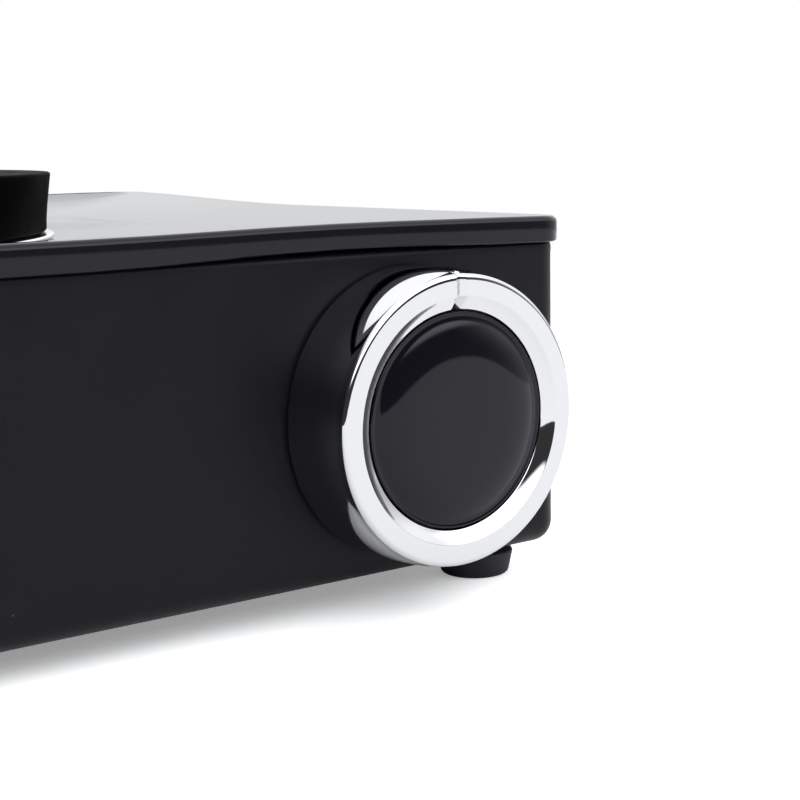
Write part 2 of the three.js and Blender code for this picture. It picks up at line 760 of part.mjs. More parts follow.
// A snail cam: its radius falls evenly over the knob's turn, then climbs back to the start.
function regulatorCam() {
  const outline = [];
  const step = 12;
  for (let angle = 0; angle < 360; angle += step) {
    const fall = Math.min(angle, CAM_LIFT_ANGLE) / CAM_LIFT_ANGLE;
    const climb = Math.max(angle - CAM_LIFT_ANGLE, 0) / (360 - CAM_LIFT_ANGLE);
    const radius = CAM_HIGH - (CAM_HIGH - CAM_LOW) * (fall - climb);
    outline.push(new THREE.Vector2(...polar(radius, 180 + angle)));
  }
  const thickness = CAM_FRONT - CAM_BACK;
  const blank = new THREE.ExtrudeGeometry(new THREE.Shape(outline), { depth: thickness, bevelEnabled: false });
  return cut(blank.translate(0, 0, CAM_BACK), rod(BUSH_BORE, CAM_BACK - 1, CAM_FRONT + 1));
}

// The lever that rests beside the cam and sets the switching contact.
function followerArm() {
  const length = ARM_TIP_Y - ARM_PIVOT_Y;
  const lever = block(ARM_WIDTH, length, CAM_BACK, CAM_FRONT).translate(0, length / 2, 0);
  const arm = join(lever, rod(ARM_BOSS, CAM_BACK, CAM_FRONT, 16));
  return cut(arm, rod(PIN_HOLE, CAM_BACK - 1, CAM_FRONT + 1, 16));
}

function regulatorCase() {
  const outside = block(CASE_WIDTH, CASE_HEIGHT, CASE_BACK, CASE_FRONT);
  const inside = block(
    CASE_WIDTH - 2 * CASE_WALL,
    CASE_HEIGHT - 2 * CASE_WALL,
    CASE_BACK - 1,
    CASE_FRONT - CASE_WALL,
  );
  return cut(outside, inside, rod(BUSH_BORE, CASE_FRONT - 3 * CASE_WALL, CASE_FRONT + 1));
}

function regulatorCover() {
  const front = CASE_BACK - GAP;
  const lid = block(CASE_WIDTH, CASE_HEIGHT, front - CASE_WALL, front);
  const slots = [-TAB_X, TAB_X].map((x) =>
    block(TAB_WIDTH + 2 * GAP, TAB_THICKNESS + 2 * GAP, front - 2 * CASE_WALL, front + 1).translate(x, TAB_Y, 0),
  );
  return cut(lid, ...slots);
}

function regulatorBracket() {
  const back = BRACKET_FACE - BRACKET_SHEET;
  const plate = block(BRACKET_WIDTH, BRACKET_HEIGHT, back, BRACKET_FACE);
  const drill = (radius, x) => rod(radius, back - 1, BRACKET_FACE + 1).translate(x, 0, 0);
  return cut(
    plate,
    drill(BUSH_HOLE, 0),
    drill(CONTROL_SCREW_HOLE, -CONTROL_SCREW_X),
    drill(CONTROL_SCREW_HOLE, CONTROL_SCREW_X),
  );
}

function spindleBush() {
  const low = CASE_FRONT + GAP;
  return cut(rod(BUSH_RADIUS, low, KNOB_BACK, 24), rod(BUSH_BORE, low - 1, KNOB_BACK + 1, 24));
}

function controlScrew() {
  const head = 1.8;
  const tip = -6;
  return turned(
    [
      [0, tip],
      [CONTROL_SCREW_RADIUS, tip + 1],
      [CONTROL_SCREW_RADIUS, GAP],
      [CONTROL_SCREW_HEAD, GAP],
      [CONTROL_SCREW_HEAD - 0.6, GAP + head],
      [0, GAP + head],
    ],
    12,
  );
}

function addControl(parent) {
  const control = new THREE.Group();
  control.position.set(KNOB_X, FRONT, KNOB_Z);
  control.rotation.x = Math.PI / 2;
  parent.add(control);
  addPiece(control, "knob_sleeve", knobSleeve(), chrome);
  addPiece(control, "knob_cap", knobCap(), glossPlastic);
  addPiece(control, "knob_core", knobCore(), blackPlastic);
  addPiece(control, "knob_spring", knobSpring(), zincSteel);
  addPiece(control, "regulator_spindle", regulatorSpindle(), brass);
  addPiece(control, "regulator_cam", regulatorCam(), blackPlastic);
  addPiece(control, "follower_arm", followerArm(), zincSteel, ARM_X, ARM_PIVOT_Y);
  addPiece(control, "arm_pivot_pin", pivotPin(), zincSteel, ARM_X, ARM_PIVOT_Y);
  addPiece(control, "regulator_case", regulatorCase(), blackPlastic);
  addPiece(control, "regulator_cover", regulatorCover(), ceramic);
  addPiece(control, "regulator_bracket", regulatorBracket(), zincSteel);
  addPiece(control, "spindle_bush", spindleBush(), brass);
  for (const [side, sign] of [["left", -1], ["right", 1]]) {
    addPiece(control, `regulator_screw_${side}`, controlScrew(), zincSteel, sign * CONTROL_SCREW_X);
    addPiece(control, `regulator_tab_${side}`, spadeTab(), brass, sign * TAB_X, TAB_Y);
  }
}

function pivotPin() {
  return rod(PIN_RADIUS, CASE_BACK, CASE_FRONT - CASE_WALL - GAP, 16);
}

function spadeTab() {
  return block(TAB_WIDTH, TAB_THICKNESS, TAB_BACK, TAB_FRONT);
}

// ---- indicator lamp ----

function lampLens() {
  return turned(
    [
      [0, LAMP_BACK],
      [LAMP_BARREL, LAMP_BACK],
      [LAMP_BARREL, GAP],
      [LAMP_FLANGE, GAP],
      [LAMP_FLANGE, LAMP_CROWN - 2.1],
      [LAMP_FLANGE - 0.9, LAMP_CROWN - 1.1],
      [LAMP_FLANGE - 3, LAMP_CROWN - 0.3],
      [0, LAMP_CROWN],
    ],
    16,
  );
}

function lampRetainer() {
  const front = -SHEET - GAP;
  const back = front - 0.8;
  return cut(rod(LAMP_RETAINER_RADIUS, back, front, 24), rod(LAMP_HOLE, back - 1, front + 1, 24));
}

function addLamp(parent) {
  const lamp = new THREE.Group();
  lamp.position.set(LAMP_X, FRONT, LAMP_Z);
  lamp.rotation.x = Math.PI / 2;
  parent.add(lamp);
  addPiece(lamp, "lamp_lens", lampLens(), lampAmber);
  addPiece(lamp, "lamp_retainer", lampRetainer(), zincSteel);
  addPiece(lamp, "lamp_holder", rod(LAMP_HOLDER_RADIUS, LAMP_HOLDER_BACK, LAMP_BACK - GAP, 20), blackPlastic);
}

// ---- mains inlet: local +Z points out of the back face ----

function cordGland() {
  return turned(
    [
      [GLAND_BORE, GLAND_INNER],
      [GLAND_BARREL, GLAND_INNER],
      [GLAND_BARREL, GAP],
      [GLAND_FLANGE, GAP],
      [GLAND_FLANGE, 2],
      [GLAND_FLANGE - 1, 3],
      [GLAND_TIP + 0.8, GLAND_REACH - 1],
      [GLAND_TIP, GLAND_REACH],
      [GLAND_BORE + 0.6, GLAND_REACH],
      [GLAND_BORE, GLAND_REACH - 0.6],
    ],
    16,
  );
}

function addInlet(parent) {
  const inlet = new THREE.Group();
  inlet.position.set(GLAND_X, BACK, GLAND_Z);
  inlet.rotation.x = -Math.PI / 2;
  parent.add(inlet);
  const nutFront = -SHEET - GAP;
  const nutBack = nutFront - GLAND_NUT_HEIGHT;
  const nut = cut(rod(GLAND_NUT, nutBack, nutFront, 6), rod(GLAND_BARREL + GAP, nutBack - 1, nutFront + 1, 24));
  addPiece(inlet, "cord_gland", cordGland(), blackPlastic);
  addPiece(inlet, "gland_nut", nut, blackPlastic);
}

// ---- wiring ----

function portAt(index) {
  return [EARTH_X + index * PORT_PITCH, PORT_Y, PORT_Z];
}

function addWiring(parent) {
  const low = BASE_TOP + GAP;
  const terminals = block(BLOCK_WIDTH, BLOCK_LENGTH, low, low + BLOCK_HEIGHT);
  addPiece(parent, "terminal_block", terminals, ceramic, BLOCK_X, BLOCK_FRONT_Y + BLOCK_LENGTH / 2);
  const earthScrew = join(rod(EARTH_HEAD, low, low + 2, 12), rod(EARTH_SHANK, BODY_BOTTOM, low + 1, 12));
  addPiece(parent, "earth_screw", earthScrew, brass, EARTH_X, EARTH_Y);

  const tabY = FRONT - TAB_BACK + GAP;
  const tabZ = KNOB_Z + TAB_Y;
  const cutoutY = 15 + GAP;
  const cutoutZ = BRIDGE_LOW - GAP - CUTOUT_HEIGHT + 2 + TAB_THICKNESS / 2;
  const lampY = FRONT - LAMP_HOLDER_BACK + GAP;
  const [legA, legB] = elementEnds();
  const legZ = ELEMENT_LEG_LOW - GAP;
  const leave = (index) => {
    const [x, y, z] = portAt(index);
    return [x, y - 6, z];
  };
  const wires = {
    wire_line: [
      brownWire,
      [portAt(4), leave(4), [-84, 0, 14], [-40, -48, 14], [40, -50, 14], [100, -36, 22],
        [KNOB_X + TAB_X, -36, 34], [KNOB_X + TAB_X, tabY, tabZ]],
    ],
    wire_regulated: [
      brownWire,
      [[KNOB_X - TAB_X, tabY, tabZ], [KNOB_X - TAB_X, -38, 39], [50, -30, 31], [0, -28, 30],
        [CUTOUT_X, -32, 36], [CUTOUT_X, -cutoutY, cutoutZ]],
    ],
    wire_cutout_to_element: [
      brownWire,
      [[CUTOUT_X, cutoutY, cutoutZ], [CUTOUT_X, 24, 41], [-24, 48, 33], [...legA, legZ - 8], [...legA, legZ]],
    ],
    wire_neutral: [
      blueWire,
      [portAt(3), leave(3), [-99, 31, 22], [-60, 36, 25], [10, 24, 25], [...legB, legZ - 9], [...legB, legZ]],
    ],
    wire_lamp_live: [
      brownWire,
      [portAt(2), leave(2), [-102, -20, 24], [-101.5, lampY + 10, 33], [-101.5, lampY, LAMP_Z]],
    ],
    wire_lamp_neutral: [
      blueWire,
      [portAt(1), leave(1), [-107, -20, 24], [-106.5, lampY + 10, 33], [-106.5, lampY, LAMP_Z]],
    ],
    wire_earth: [
      greenWire,
      [portAt(0), [EARTH_X, 34, PORT_Z + 1], [EARTH_X, 12, 20], [EARTH_X, EARTH_Y, 16],
        [EARTH_X, EARTH_Y, low + 2 + GAP]],
    ],
  };
  for (const [name, [material, route]] of Object.entries(wires)) {
    addPiece(parent, name, tube(route, WIRE_RADIUS, 3 * route.length), material);
  }
}

const hotPlate = new THREE.Group();
hotPlate.name = "hot_plate_burner";
const appliance = new THREE.Group();
appliance.position.set(0, BODY_SHIFT_Y, 0);
hotPlate.add(appliance);
addHousing(appliance);
addBurner(appliance);
addControl(appliance);
addLamp(appliance);
addInlet(appliance);
addWiring(appliance);

export default hotPlate;
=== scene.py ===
"""A single-plate electric hot plate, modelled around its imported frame."""

import json
import math

import bmesh
import bpy
from bpy.props import FloatProperty, FloatVectorProperty, IntProperty, PointerProperty
from mathutils import Matrix, Vector


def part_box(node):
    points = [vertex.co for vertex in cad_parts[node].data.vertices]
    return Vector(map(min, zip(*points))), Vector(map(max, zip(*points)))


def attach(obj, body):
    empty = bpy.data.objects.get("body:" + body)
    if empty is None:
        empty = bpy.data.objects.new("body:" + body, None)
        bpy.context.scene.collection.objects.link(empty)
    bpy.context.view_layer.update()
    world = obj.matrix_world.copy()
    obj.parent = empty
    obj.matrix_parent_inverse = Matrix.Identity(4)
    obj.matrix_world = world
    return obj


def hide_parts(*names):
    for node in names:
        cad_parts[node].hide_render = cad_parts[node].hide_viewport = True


bl_info = {
    "name": "Hot Plate Burner",
    "version": (1, 0, 0),
    "blender": (4, 5, 0),
    "location": "View3D > Sidebar > Hot Plate",
    "description": "Builds the finished surfaces of an electric hot plate around its frame",
    "category": "Add Mesh",
}

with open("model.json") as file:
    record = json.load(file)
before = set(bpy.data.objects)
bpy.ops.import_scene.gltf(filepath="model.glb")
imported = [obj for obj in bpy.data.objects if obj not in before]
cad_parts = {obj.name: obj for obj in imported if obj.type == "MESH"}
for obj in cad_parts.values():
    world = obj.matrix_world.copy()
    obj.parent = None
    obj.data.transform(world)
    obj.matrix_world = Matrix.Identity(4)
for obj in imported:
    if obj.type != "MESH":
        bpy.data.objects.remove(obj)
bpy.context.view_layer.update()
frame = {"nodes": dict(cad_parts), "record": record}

MM = 0.001
GAP = 0.3 * MM  # air between two pieces that touch
SUPPORT = 0.6 * MM  # from a bend to the ring of points that holds its shading
STUD_HOLE = 3.4 * MM
EARTH_HOLE = 2.4 * MM
SCREW_HOLE = 1.9 * MM
SCREW_SHANK = 1.5 * MM
GLAND_HOLE = 7.8 * MM
GLAND_BORE = 4.0 * MM
GLAND_BARREL = 7.4 * MM
GLAND_FLANGE = 11 * MM
HOLE_DEPTH = 3.6 * MM  # how far a drill reaches past a wall's outer face on each side


def length(name, description, default, **limits):
    """A size in metres, with its default given in millimetres."""
    return FloatProperty(
        name=name, description=description, default=default * MM, unit="LENGTH", precision=5, **limits
    )


def colour(name, description, default):
    return FloatVectorProperty(
        name=name, description=description, default=default, subtype="COLOR", size=3, min=0, max=1
    )


def share(name, description, default):
    return FloatProperty(
        name=name, description=description, default=default, min=0, max=1, subtype="FACTOR"
    )


def angle(name, description, degrees):
    return FloatProperty(
        name=name, description=description, default=math.radians(degrees), unit="ROTATION"
    )


# ---- settings ----


class PressingSettings(bpy.types.PropertyGroup):
    """Sizes of the pressed steel housing and top."""

    sheet: length("Sheet", "Thickness of the housing's steel sheet", 1.2)
    panel_sheet: length("Panel sheet", "Thickness of the top panel's sheet", 0.8)
    body_corner: length("Housing corner", "Radius of the housing's upright corners", 4.5)
    bottom_edge: length("Bottom edge", "Radius of the housing's lower edge", 4.0)
    shoulder: length("Shoulder", "Radius of the housing's upper edge", 1.5)
    bottom_flange: length("Bottom flange", "Width of the flange under the housing", 15.0)
    top_flange: length("Top flange", "Width of the flange over the housing", 6.0)
    rim_corner: length("Rim corner", "Radius of the top panel's corners", 5.6)
    rim_edge: length("Rim edge", "Radius of the rim's rolled edge", 1.2)
    rim_land: length("Rim land", "Width of the rim's flat top", 3.0)
    tray_drop: length("Tray drop", "Depth of the dished field below the rim", 2.8)
    side_margin: length("Side margin", "Width of the sloping margins at the left and right", 38.6)
    front_margin: length("Front margin", "Width of the sloping margins at the front and back", 7.4)
    panel_hole: length("Panel hole", "Radius of the hole under the heating plate", 65.0)
    rim_settle: length("Rim settle", "How far the long edges sink below the nominal rim", 0.4)
    ripple: length("Ripple", "Height of the ripples in the front edge", 0.4)
    ripple_place: length("Ripple place", "Distance of the ripples from the middle", 90.0)
    ripple_width: length("Ripple width", "Half the width of each ripple", 45.0)
    corner_lift: length("Corner lift", "How far the back corners stand above the rest of the rim", 1.85)
    lift_reach: length("Lift reach", "How far forward of the back corners the lift starts", 68.0)
    back_ramp: length(
        "Back ramp", "How far the field rises gently towards the back, clear of the plate", 36.0
    )
    side_steps: IntProperty(
        name="Side steps", description="Spans along each side of the panel", default=24, min=2
    )


class BurnerSettings(bpy.types.PropertyGroup):
    """Sizes of the heating plate and its trim ring."""

    recess_radius: length("Recess radius", "Radius of the recess in the middle of the plate", 20.0)
    recess_depth: length("Recess depth", "Depth of the recess", 1.6)
    grooves: IntProperty(
        name="Grooves", description="Turned grooves on the cooking face", default=13, min=0
    )
    groove_depth: length("Groove depth", "Depth of each turned groove", 0.22)
    skirt: length("Skirt", "Thickness of the plate's outer skirt", 8.0)
    ring_sheet: length("Ring sheet", "Thickness of the trim ring", 0.8)


class KnobSettings(bpy.types.PropertyGroup):
    """Sizes of the control knob."""

    wall: length("Wall", "Thickness of the chromed sleeve", 1.2)
    edge: length("Edge", "Radius of the sleeve's outer edge", 0.8)
    taper: length("Taper", "How far the sleeve's side leans in before its edge", 0.75)
    ridge: length("Ridge radius", "Radius where the front ring turns inwards", 20.4)
    mouth: length("Mouth radius", "Inner radius of the front ring", 18.1)
    mouth_depth: length("Mouth depth", "Drop from the front ring to its inner edge", 1.4)
    pointer_width: length("Pointer width", "Width of the pointer groove", 2.2)
    pointer_depth: length("Pointer depth", "Depth of the pointer groove", 1.2)


class FinishSettings(bpy.types.PropertyGroup):
    """Colours and gloss of the visible finishes."""

    enamel: colour("Satin enamel", "Colour of the housing", (0.0045, 0.0042, 0.0058))
    enamel_roughness: share("Satin roughness", "Roughness of the housing", 0.42)
    gloss: colour("Gloss enamel", "Colour of the top panel", (0.006, 0.006, 0.0075))
    gloss_roughness: share("Gloss roughness", "Roughness of the top panel", 0.07)
    iron: colour("Cast iron", "Colour of the heating plate", (0.0003, 0.0003, 0.0004))
    chrome: colour("Chrome", "Colour of the knob's sleeve", (0.5, 0.5, 0.51))
    cap: colour("Cap", "Colour of the knob's cap", (0.003, 0.003, 0.0045))
    rubber: colour("Rubber", "Colour of the feet", (0.0055, 0.0055, 0.0075))
    lamp: colour("Lamp", "Colour of the indicator lens", (0.75, 0.12, 0.02))


class StageSettings(bpy.types.PropertyGroup):
    """The camera and the light around the appliance."""

    yaw: angle("Yaw", "Camera direction, from +Y towards +X", 37.58)
    pitch: angle("Pitch", "How far the camera looks down", 8.86)
    roll: angle("Roll", "Camera roll", -0.89)
    lens: FloatProperty(name="Lens", description="Focal length", default=75.6, unit="CAMERA")
    from_corner: FloatVectorProperty(
        name="Camera place",
        description="Camera position from the housing's lower right front corner",
        default=(-0.2072, -0.2212, 0.0736),
        subtype="TRANSLATION",
        size=3,
    )
    back: FloatProperty(name="Back", description="Brightness behind the appliance", default=0.9, min=0)
    back_rise: FloatProperty(
        name="Back rise", description="Brightness gained above it", default=0.9, min=0
    )
    front: FloatProperty(
        name="Front", description="Brightness in front of the appliance", default=0.06, min=0
    )
    softbox: FloatProperty(
        name="Softbox", description="Brightness of the high front light", default=4.2, min=0
    )
    zenith: FloatProperty(name="Overhead", description="Brightness overhead", default=2.0, min=0)
    light: colour("Light", "Colour of the studio light", (0.97, 0.985, 1.0))
    floor: colour("Floor", "Colour of the floor", (0.93, 0.93, 0.935))
    floor_radius: length("Floor radius", "Radius of the round floor", 930.0)
    fill: share("Floor fill", "Light that the floor adds for the camera alone", 0.3)


SETTINGS = {
    "hot_plate_pressing": PressingSettings,
    "hot_plate_burner": BurnerSettings,
    "hot_plate_knob": KnobSettings,
    "hot_plate_finish": FinishSettings,
    "hot_plate_stage": StageSettings,
}


# ---- node trees ----


def add_node(tree, kind, inputs=None, **values):
    """A new node, with its properties and its unlinked inputs set."""
    node = tree.nodes.new(kind)
    for name, value in values.items():
        setattr(node, name, value)
    for key, value in (inputs or {}).items():
        if isinstance(value, bpy.types.NodeSocket):
            tree.links.new(value, node.inputs[key])
        else:
            node.inputs[key].default_value = value
    return node


def maths(tree, operation, *values):
    """The result of a Math node."""
    return add_node(tree, "ShaderNodeMath", dict(enumerate(values)), operation=operation).outputs[0]


def mixed(tree, amount, first, second):
    """Two numbers blended by an amount."""
    inputs = {0: amount, 2: first, 3: second}
    return add_node(tree, "ShaderNodeMix", inputs, data_type="FLOAT").outputs[0]


def new_group(name, kind, inputs, outputs):
    """A node group with named sockets, or the one already built."""
    if name in bpy.data.node_groups:
        return bpy.data.node_groups[name], True
    group = bpy.data.node_groups.new(name, kind)
    for label, socket, default in inputs:
        made = group.interface.new_socket(label, in_out="INPUT", socket_type=socket)
        if default is not None:
            made.default_value = default
    for label, socket in outputs:
        group.interface.new_socket(label, in_out="OUTPUT", socket_type=socket)
    return group, False


def grain_group():
    """Fine even grain of sprayed enamel, cast metal or moulded plastic."""
    group, built = new_group(
        "surface_grain",
        "ShaderNodeTree",
        [
            ("Vector", "NodeSocketVector", None),
            ("Scale", "NodeSocketFloat", 900.0),
            ("Coarseness", "NodeSocketFloat", 0.5),
        ],
        [("Height", "NodeSocketFloat"), ("Cloud", "NodeSocketFloat")],
    )
    if built:
        return group
    start = add_node(group, "NodeGroupInput")
    fine = add_node(
        group,
        "ShaderNodeTexNoise",
        {"Vector": start.outputs["Vector"], "Scale": start.outputs["Scale"], "Detail": 3.0},
    )
    slow = maths(group, "MULTIPLY", start.outputs["Scale"], 0.04)
    cloud = add_node(
        group,
        "ShaderNodeTexNoise",
        {"Vector": start.outputs["Vector"], "Scale": slow, "Detail": 4.0, "Roughness": 0.6},
    )
    height = mixed(group, start.outputs["Coarseness"], fine.outputs["Fac"], cloud.outputs["Fac"])
    add_node(group, "NodeGroupOutput", {"Height": height, "Cloud": cloud.outputs["Fac"]})
    return group


def dust_group():
    """Sparse pale specks, each a small round spot at its own place."""
    group, built = new_group(
        "dust_specks",
        "ShaderNodeTree",
        [
            ("Vector", "NodeSocketVector", None),
            ("Scale", "NodeSocketFloat", 120.0),
            ("Size", "NodeSocketFloat", 0.05),
            ("Share", "NodeSocketFloat", 0.1),
        ],
        [("Mask", "NodeSocketFloat")],
    )
    if built:
        return group
    start = add_node(group, "NodeGroupInput")
    cells = add_node(
        group,
        "ShaderNodeTexVoronoi",
        {"Vector": start.outputs["Vector"], "Scale": start.outputs["Scale"]},
    )
    spot = maths(group, "LESS_THAN", cells.outputs["Distance"], start.outputs["Size"])
    pick = add_node(group, "ShaderNodeSeparateColor", {"Color": cells.outputs["Color"]})
    chosen = maths(group, "LESS_THAN", pick.outputs[0], start.outputs["Share"])
    add_node(group, "NodeGroupOutput", {"Mask": maths(group, "MULTIPLY", spot, chosen)})
    return group


def brushed_group():
    """Long fine lines along X, as on brushed or rolled metal."""
    group, built = new_group(
        "brushed_lines",
        "ShaderNodeTree",
        [
            ("Vector", "NodeSocketVector", None),
            ("Scale", "NodeSocketFloat", 800.0),
            ("Stretch", "NodeSocketVector", (0.03, 1.0, 1.0)),
        ],
        [("Height", "NodeSocketFloat")],
    )
    if built:
        return group
    start = add_node(group, "NodeGroupInput")
    stretched = add_node(
        group,
        "ShaderNodeVectorMath",
        {0: start.outputs["Vector"], 1: start.outputs["Stretch"]},
        operation="MULTIPLY",
    )
    lines = add_node(
        group,
        "ShaderNodeTexNoise",
        {
            "Vector": stretched.outputs[0],
            "Scale": start.outputs["Scale"],
            "Detail": 5.0,
            "Roughness": 0.65,
        },
    )
    add_node(group, "NodeGroupOutput", {"Height": lines.outputs["Fac"]})
    return group


# ---- finishes ----


class Finish:
    """One material being built: a Principled shader and the object's own coordinates."""

    def __init__(self, name, **shader):
        self.material = bpy.data.materials.new(name)
        self.material.use_nodes = True
        self.tree = self.material.node_tree
        self.shader = self.tree.nodes["Principled BSDF"]
        for socket, value in shader.items():
            self.shader.inputs[socket.replace("_", " ")].default_value = value
        self.place = add_node(self.tree, "ShaderNodeTexCoord").outputs["Object"]

    def add(self, kind, inputs=None, **values):
        return add_node(self.tree, kind, inputs, **values)

    def use(self, tree, **inputs):
        """A shared node group, fed with this material's own values."""
        return self.add("ShaderNodeGroup", {"Vector": self.place, **inputs}, node_tree=tree)

    def ramp(self, value, low, high, start=0.0, end=1.0):
        """The value remapped from start..end to low..high."""
        mapped = self.add(
            "ShaderNodeMapRange",
            {"Value": value, "From Min": start, "From Max": end, "To Min": low, "To Max": high},
        )
        return mapped.outputs["Result"]

    def blend(self, amount, first, second):
        mixed = self.add("ShaderNodeMix", {0: amount, 6: (*first, 1), 7: (*second, 1)}, data_type="RGBA")
        return mixed.outputs[2]

    def feed(self, socket, value):
        self.tree.links.new(value, self.shader.inputs[socket])

    def bump(self, height, distance, strength=1.0):
        node = self.add("ShaderNodeBump", {"Height": height, "Distance": distance, "Strength": strength})
        self.feed("Normal", node.outputs["Normal"])


def tinted(base, factor):
    return tuple(min(1.0, channel * factor) for channel in base)


def enamel_finish(name, base, roughness, specular, orange_peel, grain_scale):
    """Sprayed enamel: a faint orange peel, slow gloss changes and a few specks of dust."""
    finish = Finish(name, Specular_IOR_Level=specular, Specular_Tint=(0.92, 0.9, 1.0, 1.0))
    grain = finish.use(grain_group(), Scale=grain_scale, Coarseness=0.25)
    dust = finish.use(dust_group(), Scale=320.0, Size=0.045, Share=0.02)
    cloud = grain.outputs["Cloud"]
    tone = finish.ramp(cloud, 0.0, 1.0, 0.3, 0.7)
    painted = finish.blend(tone, tinted(base, 0.88), tinted(base, 1.15))
    pale = finish.add(
        "ShaderNodeMix",
        {0: dust.outputs["Mask"], 6: painted, 7: (0.06, 0.06, 0.065, 1)},
        data_type="RGBA",
    )
    finish.feed("Base Color", pale.outputs[2])
    finish.feed("Roughness", finish.ramp(cloud, roughness * 0.92, roughness * 1.1, 0.3, 0.7))
    finish.bump(grain.outputs["Height"], orange_peel)
    return finish.material


def moulded_finish(name, base, roughness, texture):
    """Moulded plastic or rubber with a fine spark-eroded texture."""
    finish = Finish(name, Specular_IOR_Level=0.35)
    grain = finish.use(grain_group(), Scale=2600.0, Coarseness=0.3)
    tone = finish.ramp(grain.outputs["Cloud"], 0.0, 1.0, 0.3, 0.7)
    finish.feed("Base Color", finish.blend(tone, tinted(base, 0.85), tinted(base, 1.2)))
    finish.feed("Roughness", finish.ramp(grain.outputs["Height"], roughness - 0.08, roughness + 0.08))
    finish.bump(grain.outputs["Height"], texture)
    return finish.material


def iron_finish(name, base):
    """Cast iron with a matte black coating, coarse in the mould and worn a little paler."""
    finish = Finish(name, Metallic=0.0, Specular_IOR_Level=0.01)
    grain = finish.use(grain_group(), Scale=1500.0, Coarseness=0.45)
    tone = finish.ramp(grain.outputs["Cloud"], 0.0, 1.0, 0.35, 0.65)
    finish.feed("Base Color", finish.blend(tone, tinted(base, 0.8), tinted(base, 1.6)))
    finish.feed("Roughness", finish.ramp(grain.outputs["Cloud"], 0.5, 0.68, 0.3, 0.7))
    finish.bump(grain.outputs["Height"], 0.00008)
    return finish.material


def metal_finish(name, base, roughness, line_scale, stretch, relief):
    """Bare metal with fine drawn lines and slow changes of tone."""
    finish = Finish(name, Metallic=1.0)
    lines = finish.use(brushed_group(), Scale=line_scale, Stretch=stretch)
    grain = finish.use(grain_group(), Scale=700.0, Coarseness=0.5)
    tone = finish.ramp(grain.outputs["Cloud"], 0.0, 1.0, 0.3, 0.7)
    finish.feed("Base Color", finish.blend(tone, tinted(base, 0.9), tinted(base, 1.05)))
    finish.feed(
        "Roughness", finish.ramp(lines.outputs["Height"], roughness * 0.75, roughness * 1.3, 0.3, 0.7)
    )
    finish.bump(lines.outputs["Height"], relief)
    return finish.material


def chrome_finish(name, base):
    """Mirror chrome over plastic: clear, with faint ripple and a few specks."""
    finish = Finish(name, Metallic=1.0)
    grain = finish.use(grain_group(), Scale=220.0, Coarseness=0.8)
    dust = finish.use(dust_group(), Scale=330.0, Size=0.07, Share=0.05)
    spots = finish.add(
        "ShaderNodeMix",
        {0: dust.outputs["Mask"], 6: (*base, 1), 7: (*tinted(base, 0.45), 1)},
        data_type="RGBA",
    )
    finish.feed("Base Color", spots.outputs[2])
    wiped = finish.ramp(grain.outputs["Cloud"], 0.015, 0.05, 0.3, 0.7)
    finish.feed("Roughness", maths(finish.tree, "MAXIMUM", wiped, dust.outputs["Mask"]))
    finish.bump(grain.outputs["Height"], 0.000006)
    return finish.material


def polished_finish(name, base):
    """Polished black plastic with a clear skin and faint wiping marks."""
    finish = Finish(name, Specular_IOR_Level=0.2, Specular_Tint=(0.92, 0.9, 1.0, 1.0))
    grain = finish.use(grain_group(), Scale=260.0, Coarseness=0.7)
    tone = finish.ramp(grain.outputs["Cloud"], 0.0, 1.0, 0.35, 0.65)
    finish.feed("Base Color", finish.blend(tone, tinted(base, 0.85), tinted(base, 1.2)))
    finish.feed("Roughness", finish.ramp(grain.outputs["Cloud"], 0.04, 0.08, 0.3, 0.7))
    finish.bump(grain.outputs["Height"], 0.000008)
    return finish.material


def lens_finish(name, base):
    """Amber indicator plastic, a little darker in its depth."""
    finish = Finish(name, Specular_IOR_Level=0.6, Roughness=0.12)
    grain = finish.use(grain_group(), Scale=500.0, Coarseness=0.6)
    tone = finish.ramp(grain.outputs["Cloud"], 0.0, 1.0, 0.35, 0.65)
    finish.feed("Base Color", finish.blend(tone, tinted(base, 0.75), base))
    finish.feed("Roughness", finish.ramp(grain.outputs["Cloud"], 0.08, 0.18, 0.3, 0.7))
    return finish.material


def fired_finish(name, base, roughness):
    """Ceramic or pressed mica: matte, mottled and slightly pitted."""
    finish = Finish(name, Specular_IOR_Level=0.3)
    grain = finish.use(grain_group(), Scale=1200.0, Coarseness=0.5)
    tone = finish.ramp(grain.outputs["Height"], 0.0, 1.0, 0.35, 0.65)
    finish.feed("Base Color", finish.blend(tone, tinted(base, 0.82), tinted(base, 1.06)))
    finish.feed("Roughness", finish.ramp(grain.outputs["Cloud"], roughness - 0.1, roughness + 0.1))
    finish.bump(grain.outputs["Height"], 0.00005)
    return finish.material


FINISHES = {}


